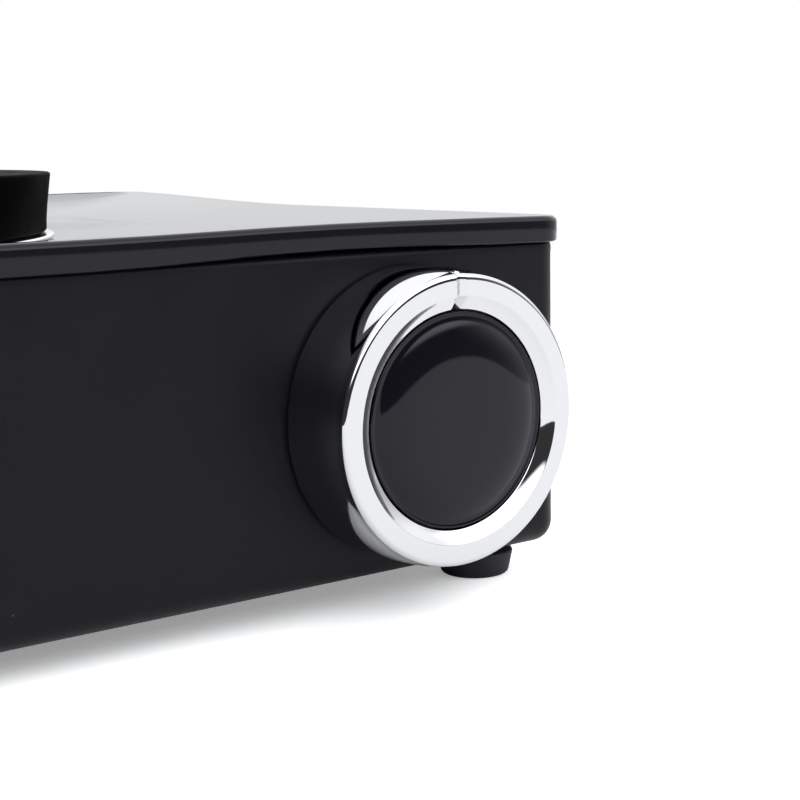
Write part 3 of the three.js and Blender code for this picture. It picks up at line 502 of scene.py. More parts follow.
def build_finishes(settings):
    """Every finish of the appliance, by the record's slot name."""
    steel = (0.42, 0.43, 0.45)
    FINISHES.update(
        satin_black=enamel_finish(
            "satin_black_enamel", settings.enamel, settings.enamel_roughness, 0.12, 0.00003, 1700.0
        ),
        gloss_black=enamel_finish(
            "gloss_black_enamel", settings.gloss, settings.gloss_roughness, 0.17, 0.000006, 240.0
        ),
        cast_iron=iron_finish("matte_cast_iron", settings.iron),
        chrome=chrome_finish("mirror_chrome", settings.chrome),
        gloss_plastic=polished_finish("polished_black_plastic", settings.cap),
        rubber=moulded_finish("black_rubber", settings.rubber, 0.7, 0.00004),
        black_plastic=moulded_finish("matte_black_plastic", (0.016, 0.016, 0.018), 0.5, 0.00002),
        polished_steel=metal_finish(
            "polished_stainless", (0.66, 0.67, 0.69), 0.14, 900.0, (1.0, 1.0, 0.05), 0.000004
        ),
        zinc_steel=metal_finish("zinc_plated_steel", steel, 0.38, 700.0, (0.05, 1.0, 1.0), 0.00001),
        reflector=metal_finish(
            "rolled_aluminium", (0.7, 0.71, 0.73), 0.25, 900.0, (1.0, 0.04, 1.0), 0.00001
        ),
        brass=metal_finish("turned_brass", (0.6, 0.42, 0.15), 0.25, 900.0, (1.0, 1.0, 0.08), 0.000008),
        ceramic=fired_finish("white_steatite", (0.72, 0.68, 0.58), 0.6),
        mica=fired_finish("pressed_mica", (0.42, 0.36, 0.24), 0.7),
        lamp_amber=lens_finish("amber_lens", settings.lamp),
        wire_brown=moulded_finish("brown_silicone", (0.12, 0.05, 0.02), 0.5, 0.00001),
        wire_blue=moulded_finish("blue_silicone", (0.02, 0.06, 0.25), 0.5, 0.00001),
        wire_green=moulded_finish("green_silicone", (0.06, 0.22, 0.04), 0.5, 0.00001),
    )


# ---- mesh tools ----


def add_object(name, data):
    """A new object with the data, linked to the scene."""
    made = bpy.data.objects.new(name, data)
    bpy.context.scene.collection.objects.link(made)
    return made


def mesh_of(build, name):
    """A bmesh written out as a new mesh."""
    mesh = bpy.data.meshes.new(name)
    build.to_mesh(mesh)
    build.free()
    return mesh


def evaluated_mesh(carrier, name):
    """A plain mesh of what an object's modifiers make of it."""
    graph = bpy.context.evaluated_depsgraph_get()
    result = bpy.data.meshes.new_from_object(carrier.evaluated_get(graph))
    result.name = name
    return result


def finished_piece(name, mesh, slot, body, replaced, sharp=30.0):
    """Links a mesh as a piece that rides on a body and stands for its CAD nodes."""
    mesh.shade_smooth()
    mesh.set_sharp_from_angle(angle=math.radians(sharp))
    mesh.materials.clear()
    mesh.materials.append(FINISHES[slot])
    piece = add_object(name, mesh)
    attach(piece, body)
    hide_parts(*replaced)
    return piece


def mesh_from_loops(name, loops, closed):
    """Skins rings of equally many points. closed joins the last ring to the first."""
    build = bmesh.new()
    rings = [[build.verts.new(point) for point in loop] for loop in loops]
    pairs = list(zip(rings, rings[1:])) + ([(rings[-1], rings[0])] if closed else [])
    for first, second in pairs:
        count = len(first)
        for i in range(count):
            j = (i + 1) % count
            build.faces.new((first[i], first[j], second[j], second[i]))
    bmesh.ops.remove_doubles(build, verts=build.verts, dist=1e-7)
    bmesh.ops.dissolve_degenerate(build, edges=build.edges, dist=1e-7)
    bmesh.ops.recalc_face_normals(build, faces=build.faces)
    return mesh_of(build, name)


def arc(centre, radius, start, end, steps):
    """Points on an arc in a profile plane, angles in degrees."""
    points = []
    for i in range(steps + 1):
        turn = math.radians(start + (end - start) * i / steps)
        points.append((centre[0] + radius * math.cos(turn), centre[1] + radius * math.sin(turn)))
    return points


def revolve(name, profile, steps, closed=False, angles=None):
    """Turns a profile of (radius, height) points about Z."""
    turns = angles or [2 * math.pi * i / steps for i in range(steps)]
    loops = [[(r * math.cos(a), r * math.sin(a), z) for a in turns] for r, z in profile]
    return mesh_from_loops(name, loops, closed)


def transformed(mesh, matrix):
    mesh.transform(matrix)
    return mesh


def rectangle_loop(half_x, half_y, radius, z, centre=(0.0, 0.0), corner_steps=8, side_steps=6):
    """A rounded rectangle as a ring of points, with a support point beside each corner arc."""
    smallest_radius = 0.2 * MM
    radius = max(radius, smallest_radius)
    corners = ((1, 1, 0), (-1, 1, 90), (-1, -1, 180), (1, -1, 270))
    ring = []
    for index, (sx, sy, start) in enumerate(corners):
        middle = (centre[0] + sx * (half_x - radius), centre[1] + sy * (half_y - radius))
        bend = arc(middle, radius, start, start + 90, corner_steps)
        nx, ny, _ = corners[(index + 1) % 4]
        far = (centre[0] + nx * (half_x - radius), centre[1] + ny * (half_y - radius))
        last = Vector(bend[-1])
        other = Vector(arc(far, radius, start + 90, start + 90, 1)[0])
        run = other - last
        along = run.normalized() * SUPPORT
        ring.extend(bend)
        ring.append(tuple(last + along))
        for i in range(1, side_steps):
            ring.append(tuple(last + run * (i / side_steps)))
        ring.append(tuple(other - along))
    return [(x, y, z) for x, y in ring]


def frame_mesh(name, half_x, half_y, corner, profile, centre):
    """Sweeps a closed profile of (inset, height) points round a rounded rectangle."""
    loops = [
        rectangle_loop(half_x - inset, half_y - inset, corner - inset, z, centre) for inset, z in profile
    ]
    return mesh_from_loops(name, loops, closed=True)


def cut_with(mesh, cutters):
    """Cuts closed cutter meshes out of a mesh."""
    body = add_object("cut_body", mesh)
    helpers = []
    for cutter in cutters:
        helper = add_object("cutter", cutter)
        helpers.append(helper)
        step = body.modifiers.new("cut", "BOOLEAN")
        step.object = helper
        step.operation = "DIFFERENCE"
        step.solver = "EXACT"
    result = evaluated_mesh(body, mesh.name + "_cut")
    for helper in [body, *helpers]:
        bpy.data.objects.remove(helper)
    return result


def drill(radius, low, high, place, axis="Z", steps=48):
    """A closed cylinder to cut a hole with, along an axis through place."""
    mesh = revolve("drill", [(0, low), (radius, low), (radius, high), (0, high)], steps)
    turn = Matrix.Rotation(math.radians(90), 4, "X") if axis == "Y" else Matrix.Identity(4)
    return transformed(mesh, Matrix.Translation(place) @ turn)


def middle_of(node):
    low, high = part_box(node)
    return (low + high) / 2


def front_matrix(node):
    """Local +Z out of the front face, local +Y up, from the node's own axis and the front face."""
    middle = middle_of(node)
    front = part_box("body_shell")[0].y
    return Matrix.Translation((middle.x, front, middle.z)) @ Matrix.Rotation(math.radians(90), 4, "X")


# ---- housing ----


def housing_profile(settings, low, high):
    """The wrapped sheet in section: down the outside, round the flanges and up the inside."""
    sheet = settings.sheet
    bottom = settings.bottom_edge
    top = settings.shoulder
    inner_top = sheet * 0.4
    return [
        (settings.top_flange, high),
        (top + SUPPORT, high),
        *arc((top, high - top), top, 90, 180, 6),
        (0, high - top - SUPPORT),
        (0, (low + high) / 2),
        (0, low + bottom + SUPPORT),
        *arc((bottom, low + bottom), bottom, 180, 270, 10),
        (bottom + SUPPORT, low),
        (settings.bottom_flange, low),
        (settings.bottom_flange, low + sheet),
        (bottom, low + sheet),
        *arc((bottom, low + bottom), bottom - sheet, 270, 180, 6)[1:],
        (sheet, high - sheet - inner_top),
        *arc((sheet + inner_top, high - sheet - inner_top), inner_top, 180, 90, 3),
        (settings.top_flange, high - sheet),
    ]


def housing_holes():
    """Cutters for the holes that the frame's pieces pass through."""
    low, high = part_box("body_shell")
    through = (-HOLE_DEPTH, HOLE_DEPTH)
    holes = []
    hole_to_piece = (
        ("spindle_bush", 1.07),
        ("regulator_screw_left", 0.62),
        ("regulator_screw_right", 0.62),
        ("lamp_lens", 0.8),
    )
    for node, ratio in hole_to_piece:
        left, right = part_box(node)
        middle = middle_of(node)
        radius = (right.x - left.x) / 2 * ratio
        holes.append(drill(radius, *through, (middle.x, low.y, middle.z), "Y"))
    gland = middle_of("cord_gland")
    holes.append(drill(GLAND_HOLE, *through, (gland.x, high.y, gland.z), "Y"))
    for screw in screw_nodes():
        middle = middle_of(screw)
        place = (middle.x, middle.y, 0)
        holes.append(drill(SCREW_HOLE, low.z - HOLE_DEPTH, low.z + HOLE_DEPTH, place))
    return holes


def build_housing(settings):
    low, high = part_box("body_shell")
    centre = (low + high) / 2
    half = (high - low) / 2
    profile = housing_profile(settings, low.z, high.z)
    mesh = frame_mesh("housing_wrap", half.x, half.y, settings.body_corner, profile, centre.xy)
    return finished_piece(
        "housing_wrap", cut_with(mesh, housing_holes()), "satin_black", "housing", ["body_shell"]
    )


# ---- top panel ----


def panel_rings(settings):
    """The top panel in section, as (side inset, end inset, corner radius, height, share of the warp)."""
    edge = settings.rim_edge
    sheet = settings.panel_sheet
    corner = settings.rim_corner
    drop = settings.tray_drop
    land = settings.rim_land
    low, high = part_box("top_panel")
    skirt = high.z - low.z
    fold = 0.4 * MM
    rings = [(x, x, corner - x, z - skirt, 0.0) for x, z in arc((fold, fold), fold, 270, 180, 4)]
    rings += [(0, 0, corner, -edge - SUPPORT, 1.0)]
    rings += [(x, x, corner - x, z, 1.0) for x, z in arc((edge, -edge), edge, 180, 90, 8)]
    rings += [(land, land, corner - land, 0.0, 1.0)]
    slope = 10
    for i in range(1, slope + 1):
        part = i / slope
        x = land + (settings.side_margin - land) * part
        y = land + (settings.front_margin - land) * part
        rings.append((x, y, corner - land + 3.0 * MM * part, -drop * part, (1 - part) ** 1.4))
    flat = 1.2 * MM
    x, y, radius, _, _ = rings[-1]
    rings.append((x + flat, y + flat, radius, -drop, 0.0))
    under = [(x + flat, y + flat, radius, -drop - sheet, 0.0), (x, y, radius, -drop - sheet, 0.0)]
    under += [(land, land, corner - land, -sheet, 1.0)]
    under += [(sheet, sheet, corner - sheet, -sheet - fold, 1.0)]
    under += [(sheet, sheet, corner - sheet, -skirt + 0.3 * MM, 0.0)]
    return rings, under


def ease(value):
    """A smooth step from 0 to 1."""
    value = min(1.0, max(0.0, value))
    return value * value * (3 - 2 * value)


def warp(settings, point, centre, half, share):
    """The pressing's small unevenness: a rippled front edge and raised back corners."""
    x = abs(point[0] - centre.x)
    y = point[1] - centre.y
    place = (x - settings.ripple_place) / settings.ripple_width
    ripple = 0.5 + 0.5 * math.cos(math.pi * place) if abs(place) < 1 else 0.0
    ripple *= ease((-y / half.y - 0.6) / 0.35)
    back = ease((y - half.y + settings.lift_reach) / settings.lift_reach * 0.85 + 0.05)
    lift = settings.corner_lift * back * ease(x / half.x * 0.7 + 0.3)
    end_reach = 14 * MM
    ends = 0.2 * MM * ease((x - half.x + end_reach) / end_reach)
    top = settings.ripple * ripple + lift - settings.rim_settle - ends
    bottom = settings.ripple * 2.4 * ripple + lift * 0.25
    return (point[0], point[1], point[2] + bottom + (top - bottom) * share)


def build_top(settings):
    low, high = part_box("top_panel")
    centre = (low + high) / 2
    half = (high - low) / 2
    over, under = panel_rings(settings)
    hole = middle_of("heating_plate").xy
    skirt_rings = 5
    field_spans = 12
    clear_start = settings.panel_hole + 8 * MM
    clear_reach = 22 * MM

    def rectangle(ring, in_tray):
        inset_x, inset_y, radius, z, share = ring
        loop = rectangle_loop(
            half.x - inset_x, half.y - inset_y, radius, high.z + z, centre.xy, 8, settings.side_steps
        )
        if in_tray:
            return [blend_warp(point, share) for point in loop]
        return [warp(settings, point, centre, half, share) for point in loop]

    def blend_warp(point, share):
        off_x = half.x - abs(point[0] - centre.x)
        off_y = half.y - (point[1] - centre.y)
        clear = ease(((Vector(point[:2]) - hole).length - clear_start) / clear_reach)
        ramp = min(1.0, max(0.0, 1 - (off_y - settings.rim_land) / settings.back_ramp)) ** 1.5
        rise = max(0.0, high.z - settings.tray_drop * (1 - ramp) - point[2])
        on_top = point[2] > high.z - settings.tray_drop - 0.5 * settings.panel_sheet
        z = point[2] + rise * clear * on_top
        share = max(share, clear * max(ramp, 1 - off_x / settings.side_margin, 0.0) ** 1.3)
        full = warp(settings, point, centre, half, 1.0)
        return (point[0], point[1], z + (full[2] - point[2]) * share)

    def circle(loop, radius, z):
        turned = []
        for x, y, _ in loop:
            direction = (Vector((x, y)) - hole).normalized() * radius
            turned.append((hole.x + direction.x, hole.y + direction.y, z))
        return turned

    loops = [rectangle(ring, i >= skirt_rings) for i, ring in enumerate(over)]
    tray = high.z - settings.tray_drop
    inner = circle(loops[0], settings.panel_hole + 3 * MM, tray)
    outer = rectangle((*over[-1][:4], 0.0), False)
    for i in range(1, field_spans):
        part = i / field_spans
        between = [Vector(a[:2]).lerp(Vector(b[:2]), part) for a, b in zip(outer, inner)]
        loops.append([blend_warp((spot.x, spot.y, tray), 0.0) for spot in between])
    lip = 0.4 * MM
    sheet = settings.panel_sheet
    for radius, z in ((lip, 0.0), (0.12 * MM, -0.12 * MM), (0.0, -lip), (0.0, -sheet)):
        loops.append(circle(loops[0], settings.panel_hole + radius, tray + z))
    loops += [rectangle(ring, i < len(under) - 1) for i, ring in enumerate(under)]
    mesh = mesh_from_loops("cooking_top", loops, closed=True)
    return finished_piece("cooking_top", mesh, "gloss_black", "housing", ["top_panel"], 40.0)


# ---- burner ----


def plate_profile(settings, radius, low, high):
    """The plate in section, from the axis under it, round the rim and back over the grooves."""
    foot = radius - 1.0 * MM
    foot_edge = 0.5 * MM
    inner = foot - settings.skirt
    underside = low + 2.5 * MM
    edge = 0.4 * MM
    recess = settings.recess_radius
    points = [(0, underside), (inner, underside), (inner, low)]
    points += arc((foot - foot_edge, low + foot_edge), foot_edge, 270, 360, 4)
    points += [(foot + 0.05 * MM, low + 2.0 * MM), (foot + 0.3 * MM, low + 4.5 * MM)]
    points += [(radius - 0.15 * MM, high - edge - 1.0 * MM)]
    points += arc((radius - edge, high - edge), edge, 0, 90, 6)
    outer = radius - 4.5 * MM
    inside = recess + 3.0 * MM
    pitch = (outer - inside) / settings.grooves
    for i in range(settings.grooves):
        middle = outer - pitch * (i + 0.5)
        half = pitch * 0.16
        points += [(middle + half, high), (middle + half * 0.35, high - settings.groove_depth)]
        points += [(middle - half * 0.35, high - settings.groove_depth), (middle - half, high)]
    floor = high - settings.recess_depth
    lip = 0.8 * MM
    points += arc((recess + lip, high - lip), lip, 90, 165, 4)
    points += [(recess - 0.7 * MM, floor + 0.3 * MM), (recess - 1.2 * MM, floor), (0, floor)]
    return points


def ring_profile(settings, radius, low, high):
    """The trim ring in section: a rolled flange over the tray and a collar through its hole."""
    sheet = settings.ring_sheet
    collar = radius - 6.1 * MM
    flange = high - sheet
    bore = collar - sheet
    mouth = 1.0 * MM
    return [
        (bore, low),
        (collar, low),
        (collar, flange - 0.3 * MM),
        (collar + 0.2 * MM, flange),
        *arc((radius - sheet / 2, high - sheet / 2), sheet / 2, 270, 450, 10),
        *arc((bore + mouth, high - mouth), mouth, 90, 180, 6),
    ]


def build_burner(settings):
    for name, node, slot, section in (
        ("heating_disc", "heating_plate", "cast_iron", plate_profile),
        ("spill_ring", "trim_ring", "polished_steel", ring_profile),
    ):
        low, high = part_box(node)
        middle = (low + high) / 2
        profile = section(settings, (high.x - low.x) / 2, low.z, high.z)
        mesh = revolve(name, profile, 180, closed=node == "trim_ring")
        mesh = transformed(mesh, Matrix.Translation((middle.x, middle.y, 0)))
        if node == "heating_plate":
            stud_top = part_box("centre_stud")[1].z
            bore = drill(STUD_HOLE, low.z, stud_top + GAP, (middle.x, middle.y, 0))
            mesh = cut_with(mesh, [bore])
        finished_piece(name, mesh, slot, "housing", [node])


# ---- knob ----


def sleeve_profile(settings, radius, back, front):
    """The chromed sleeve in section, from its back edge over the front ring and back inside."""
    edge = settings.edge
    mouth = front - settings.mouth_depth
    bore = radius - settings.wall
    brow = radius - settings.taper
    chamfer = 0.3 * MM
    lean = 7.0 * MM
    lean_steps = 6
    points = [(radius - chamfer, back), (radius, back + chamfer), (radius, front - lean)]
    for i in range(1, lean_steps + 1):
        part = i / lean_steps
        height = front - lean + (lean - edge - chamfer) * part
        points.append((radius - settings.taper * part**1.7, height))
    points += arc((brow - edge, front - edge), edge, 0, 90, 10)
    points += [(brow - edge - 0.25 * MM, front), (settings.ridge + 0.5 * MM, front)]
    points += arc((settings.ridge, front - 0.18 * MM), 0.18 * MM, 90, 130, 4)
    points += [(settings.ridge - 0.5 * MM, front - 0.33 * MM)]
    points += [(settings.mouth + 0.5 * MM, mouth + 0.2 * MM)]
    points += arc((settings.mouth + 0.2 * MM, mouth - 0.1 * MM), 0.2 * MM, 110, 180, 3)
    points += [(settings.mouth, mouth - settings.wall)]
    inside = front - 1.5 * MM
    points += [(settings.ridge, inside), (bore, inside), (bore, back)]
    return points


def build_sleeve(settings):
    low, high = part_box("knob_sleeve")
    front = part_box("body_shell")[0].y
    radius = (high.x - low.x) / 2
    profile = sleeve_profile(settings, radius, front - high.y, front - low.y)
    dense = [math.radians(90 + 0.25 * i) for i in range(-12, 13)]
    coarse = [math.radians(93 + 354 * i / 236) for i in range(1, 236)]
    mesh = revolve("knob_sleeve", profile, 0, closed=True, angles=dense + coarse)
    reach = front - low.y
    half = settings.pointer_width / 2
    for vertex in mesh.vertices:
        x, y, z = vertex.co
        facing = z > reach - settings.mouth_depth - 0.3 * MM
        if y > 0 and abs(x) < half and facing and math.hypot(x, y) > settings.mouth - 0.1 * MM:
            vertex.co.z = z - settings.pointer_depth * (1 - abs(x) / half)
    mesh = transformed(mesh, front_matrix("knob_sleeve"))
    return finished_piece("knob_ring", mesh, "chrome", "knob", ["knob_sleeve"], 28.0)


def build_cap():
    low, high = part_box("knob_cap")
    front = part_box("body_shell")[0].y
    radius = (high.x - low.x) / 2
    back = front - high.y
    crown = front - low.y
    edge = crown - 1.5 * MM
    shoulder = radius - 0.9 * MM
    brim = edge + 0.12 * MM
    points = [(0, back), (radius, back), (radius, edge - 0.1 * MM)]
    points += arc((radius - 0.25 * MM, edge), 0.25 * MM, 0, 100, 4)
    points += [(radius - 0.55 * MM, edge + 0.18 * MM), (shoulder, brim)]
    steps = 22
    for i in range(1, steps + 1):
        part = 1 - i / steps
        points.append((shoulder * part, brim + (crown - brim) * (1 - part**6.0)))
    mesh = transformed(revolve("knob_button", points, 160), front_matrix("knob_cap"))
    return finished_piece("knob_button", mesh, "gloss_plastic", "knob", ["knob_cap"], 50.0)


# ---- what repeats ----


def group_input(modifier, label, value):
    """Sets a Geometry Nodes input by its socket's identifier."""
    for item in modifier.node_group.interface.items_tree:
        if item.item_type == "SOCKET" and item.in_out == "INPUT" and item.name == label:
            modifier[item.identifier] = value
            return
    raise KeyError(label)


def from_nodes(name, mesh, tree, **inputs):
    """Runs a Geometry Nodes tree on a mesh and returns the result as a plain mesh."""
    carrier = add_object(name + "_carrier", mesh)
    modifier = carrier.modifiers.new("repeat", "NODES")
    modifier.node_group = tree
    for label, value in inputs.items():
        group_input(modifier, label.replace("_", " "), value)
    result = evaluated_mesh(carrier, name)
    bpy.data.objects.remove(carrier)
    return result


def corner_tree():
    """Sets the incoming piece on the four corners of a rectangle."""
    tree, built = new_group(
        "four_corners",
        "GeometryNodeTree",
        [
            ("Geometry", "NodeSocketGeometry", None),
            ("Spacing X", "NodeSocketFloat", 0.2),
            ("Spacing Y", "NodeSocketFloat", 0.1),
            ("Centre", "NodeSocketVector", None),
            ("Finish", "NodeSocketMaterial", None),
        ],
        [("Geometry", "NodeSocketGeometry")],
    )
    if built:
        return tree
    start = add_node(tree, "NodeGroupInput")
    grid = add_node(
        tree,
        "GeometryNodeMeshGrid",
        {
            "Size X": start.outputs["Spacing X"],
            "Size Y": start.outputs["Spacing Y"],
            "Vertices X": 2,
            "Vertices Y": 2,
        },
    )
    placed = add_node(
        tree,
        "GeometryNodeTransform",
        {"Geometry": grid.outputs["Mesh"], "Translation": start.outputs["Centre"]},
    )
    copies = add_node(
        tree,
        "GeometryNodeInstanceOnPoints",
        {"Points": placed.outputs["Geometry"], "Instance": start.outputs["Geometry"]},
    )
    real = add_node(tree, "GeometryNodeRealizeInstances", {"Geometry": copies.outputs["Instances"]})
    coated = add_node(
        tree,
        "GeometryNodeSetMaterial",
        {"Geometry": real.outputs["Geometry"], "Material": start.outputs["Finish"]},
    )
    add_node(tree, "NodeGroupOutput", {"Geometry": coated.outputs["Geometry"]})
    return tree


def slot_tree():
    """Fills a flat outline, less rows of round-ended slots, and thickens it."""
    tree, built = new_group(
        "slotted_sheet",
        "GeometryNodeTree",
        [
            ("Geometry", "NodeSocketGeometry", None),
            ("Rows", "NodeSocketInt", 7),
            ("Pitch", "NodeSocketFloat", 0.01),
            ("Slot Length", "NodeSocketFloat", 0.032),
            ("Slot Width", "NodeSocketFloat", 0.0035),
            ("Group Offset", "NodeSocketFloat", 0.078),
            ("Thickness", "NodeSocketFloat", 0.001),
            ("Level", "NodeSocketFloat", 0.0),
            ("Centre", "NodeSocketVector", None),
            ("Finish", "NodeSocketMaterial", None),
        ],
        [("Geometry", "NodeSocketGeometry")],
    )
    if built:
        return tree
    start = add_node(tree, "NodeGroupInput")
    outline = add_node(tree, "GeometryNodeMeshToCurve", {"Mesh": start.outputs["Geometry"]})
    slot = add_node(
        tree,
        "GeometryNodeCurvePrimitiveQuadrilateral",
        {"Width": start.outputs["Slot Length"], "Height": start.outputs["Slot Width"]},
    )
    half = maths(tree, "MULTIPLY", start.outputs["Slot Width"], 0.499)
    rounded = add_node(
        tree,
        "GeometryNodeFilletCurve",
        {"Curve": slot.outputs["Curve"], "Count": 8, "Radius": half},
        mode="POLY",
    )
    step = add_node(tree, "ShaderNodeCombineXYZ", {"Y": start.outputs["Pitch"]})
    rows = add_node(
        tree, "GeometryNodeMeshLine", {"Count": start.outputs["Rows"], "Offset": step.outputs[0]}
    )
    column = add_node(
        tree,
        "GeometryNodeInstanceOnPoints",
        {"Points": rows.outputs["Mesh"], "Instance": rounded.outputs["Curve"]},
    )
    gaps = maths(tree, "SUBTRACT", start.outputs["Rows"], 1.0)
    back = maths(tree, "MULTIPLY", maths(tree, "MULTIPLY", gaps, start.outputs["Pitch"]), -0.5)
    joined = add_node(tree, "GeometryNodeJoinGeometry")
    tree.links.new(outline.outputs["Curve"], joined.inputs[0])
    for side in (-1.0, 1.0):
        offset = maths(tree, "MULTIPLY", start.outputs["Group Offset"], side)
        shift = add_node(tree, "ShaderNodeCombineXYZ", {"X": offset, "Y": back})
        place = add_node(
            tree,
            "ShaderNodeVectorMath",
            {0: shift.outputs[0], 1: start.outputs["Centre"]},
            operation="ADD",
        )
        moved = add_node(
            tree,
            "GeometryNodeTransform",
            {"Geometry": column.outputs["Instances"], "Translation": place.outputs[0]},
        )
        tree.links.new(moved.outputs["Geometry"], joined.inputs[0])
    real = add_node(tree, "GeometryNodeRealizeInstances", {"Geometry": joined.outputs["Geometry"]})
    filled = add_node(tree, "GeometryNodeFillCurve", {"Curve": real.outputs["Geometry"]})
    level = add_node(tree, "ShaderNodeCombineXYZ", {"Z": start.outputs["Level"]})
    raised = add_node(
        tree,
        "GeometryNodeTransform",
        {"Geometry": filled.outputs["Mesh"], "Translation": level.outputs[0]},
    )
    upward = add_node(tree, "ShaderNodeCombineXYZ", {"Z": start.outputs["Thickness"]})
    thick = add_node(
        tree,
        "GeometryNodeExtrudeMesh",
        {"Mesh": raised.outputs["Geometry"], "Offset": upward.outputs[0], "Individual": False},
    )
    flipped = add_node(tree, "GeometryNodeFlipFaces", {"Mesh": raised.outputs["Geometry"]})
    shell = add_node(tree, "GeometryNodeJoinGeometry")
    tree.links.new(thick.outputs["Mesh"], shell.inputs[0])
    tree.links.new(flipped.outputs["Mesh"], shell.inputs[0])
    welded = add_node(
        tree, "GeometryNodeMergeByDistance", {"Geometry": shell.outputs["Geometry"], "Distance": 1e-6}
    )
    coated = add_node(
        tree,
        "GeometryNodeSetMaterial",
        {"Geometry": welded.outputs["Geometry"], "Material": start.outputs["Finish"]},
    )
    add_node(tree, "NodeGroupOutput", {"Geometry": coated.outputs["Geometry"]})
    return tree


def foot_nodes():
    return sorted(n for n in frame["nodes"] if n.startswith("foot_") and "screw" not in n)


def screw_nodes():
    return sorted(n for n in frame["nodes"] if n.startswith("foot_screw"))


def corner_places(nodes):
    """The spacing and centre of four like nodes."""
    middles = [middle_of(node) for node in nodes]
    low = Vector((min(m.x for m in middles), min(m.y for m in middles), 0))
    high = Vector((max(m.x for m in middles), max(m.y for m in middles), 0))
    return high.x - low.x, high.y - low.y, (low + high) / 2


def foot_profile(radius, height):
    """A moulded foot in section: dished sole, tapered side, neck and screw bore."""
    sole = radius - 0.7 * MM
    sole_edge = 0.9 * MM
    skirt = height - 0.8 * MM
    shoulder = 0.45 * MM
    neck = 4.6 * MM
    fillet = 0.2 * MM
    counter = 3.5 * MM
    counter_depth = 2.4 * MM
    return [
        (counter, 0.25 * MM),
        (counter + 0.3 * MM, 0.0),
        (sole - 1.2 * MM, 0.0),
        *arc((sole - sole_edge, sole_edge), sole_edge, 270, 355, 6),
        (sole + 0.35 * MM, skirt * 0.55),
        *arc((radius - shoulder, skirt - shoulder), shoulder, 5, 90, 5),
        (neck + fillet, skirt),
        (neck, skirt + fillet),
        (neck, height),
        (SCREW_HOLE, height),
        (SCREW_HOLE, counter_depth),
        (counter, counter_depth),
    ]


def screw_profile(head, shank, low, top, tip):
    """A screw in section: rounded head, shank with a shallow thread, and tip."""
    thread = 0.15 * MM
    steps = 24
    return [
        (0, low + 0.1 * MM),
        (head * 0.55, low + 0.1 * MM),
        (head * 0.85, low + 0.45 * MM),
        (head, top - 0.3 * MM),
        (head - 0.1 * MM, top),
        (shank, top),
        *[
            (shank - (thread if i % 2 else 0), top + (i + 1) * (tip - top) / (steps + 2))
            for i in range(steps)
        ],
        (shank * 0.6, tip - 0.3 * MM),
        (0, tip),
    ]


def cross_recess(width, depth, place):
    """Two crossed blades to cut a driver's recess with."""
    build = bmesh.new()
    for size in ((width, width * 0.24), (width * 0.24, width)):
        made = bmesh.ops.create_cube(build, size=1.0)
        scale = Matrix.Diagonal((size[0], size[1], depth * 2, 1))
        bmesh.ops.transform(build, matrix=Matrix.Translation(place) @ scale, verts=made["verts"])
    return mesh_of(build, "recess")


def build_feet():
    nodes = foot_nodes()
    low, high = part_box(nodes[0])
    spacing_x, spacing_y, centre = corner_places(nodes)
    foot = revolve("foot", foot_profile((high.y - low.y) / 2, high.z), 72, closed=True)
    inputs = {"Spacing_X": spacing_x, "Spacing_Y": spacing_y, "Centre": centre}
    feet = from_nodes("rubber_feet", foot, corner_tree(), Finish=FINISHES["rubber"], **inputs)
    finished_piece("rubber_feet", feet, "rubber", "housing", nodes)
    nodes = screw_nodes()
    low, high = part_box(nodes[0])
    head = (high.x - low.x) / 2
    head_top = 2.1 * MM
    profile = screw_profile(head, SCREW_SHANK, low.z, head_top, high.z)
    recess = cross_recess(head * 1.1, 0.9 * MM, (0, 0, low.z))
    screw = cut_with(revolve("screw", profile, 40), [recess])
    screws = from_nodes("foot_screws", screw, corner_tree(), Finish=FINISHES["zinc_steel"], **inputs)
    finished_piece("foot_screws", screws, "zinc_steel", "housing", nodes)


def build_base():
    low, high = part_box("base_plate")
    centre = (low + high) / 2
    half = (high - low) / 2
    build = bmesh.new()
    corner = 4.5 * MM
    ring = [build.verts.new(p) for p in rectangle_loop(half.x, half.y, corner, 0.0, centre.xy)]
    for first, second in zip(ring, ring[1:] + ring[:1]):
        build.edges.new((first, second))
    sheet = from_nodes(
        "base_cover",
        mesh_of(build, "base_outline"),
        slot_tree(),
        Thickness=high.z - low.z,
        Level=low.z,
        Centre=(centre.x, centre.y, 0.0),
        Finish=FINISHES["zinc_steel"],
    )
    stud = middle_of("centre_stud")
    earth = middle_of("earth_screw")
    through = (low.z - 1 * MM, high.z + 1 * MM)
    holes = [drill(STUD_HOLE, *through, (stud.x, stud.y, 0))]
    holes.append(drill(EARTH_HOLE, *through, (earth.x, earth.y, 0)))
    for screw in screw_nodes():
        middle = middle_of(screw)
        holes.append(drill(SCREW_HOLE, *through, (middle.x, middle.y, 0)))
    finished_piece("base_cover", cut_with(sheet, holes), "zinc_steel", "housing", ["base_plate"])


# ---- lamp and gland ----


def build_lamp():
    low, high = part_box("lamp_lens")
    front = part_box("body_shell")[0].y
    flange = (high.x - low.x) / 2
    barrel = flange - 1.7 * MM
    back = front - high.y
    crown = front - low.y
    chamfer = 0.3 * MM
    points = [(0, back), (barrel - chamfer, back), (barrel, back + chamfer)]
    points += [(barrel, GAP), (flange, GAP)]
    points += arc((flange - 0.5 * MM, GAP + 0.6 * MM), 0.5 * MM, 0, 70, 4)
    rings = 5
    for i in range(rings):
        outer = (flange - 1.4 * MM) * (1 - i / rings)
        height = crown - 1.0 * MM + (i + 1) * 0.2 * MM
        points += [(outer, height - 0.35 * MM), (outer - 0.15 * MM, height)]
    points += [(0, crown)]
    mesh = transformed(revolve("indicator_lens", points, 96), front_matrix("lamp_lens"))
    finished_piece("indicator_lens", mesh, "lamp_amber", "housing", ["lamp_lens"])


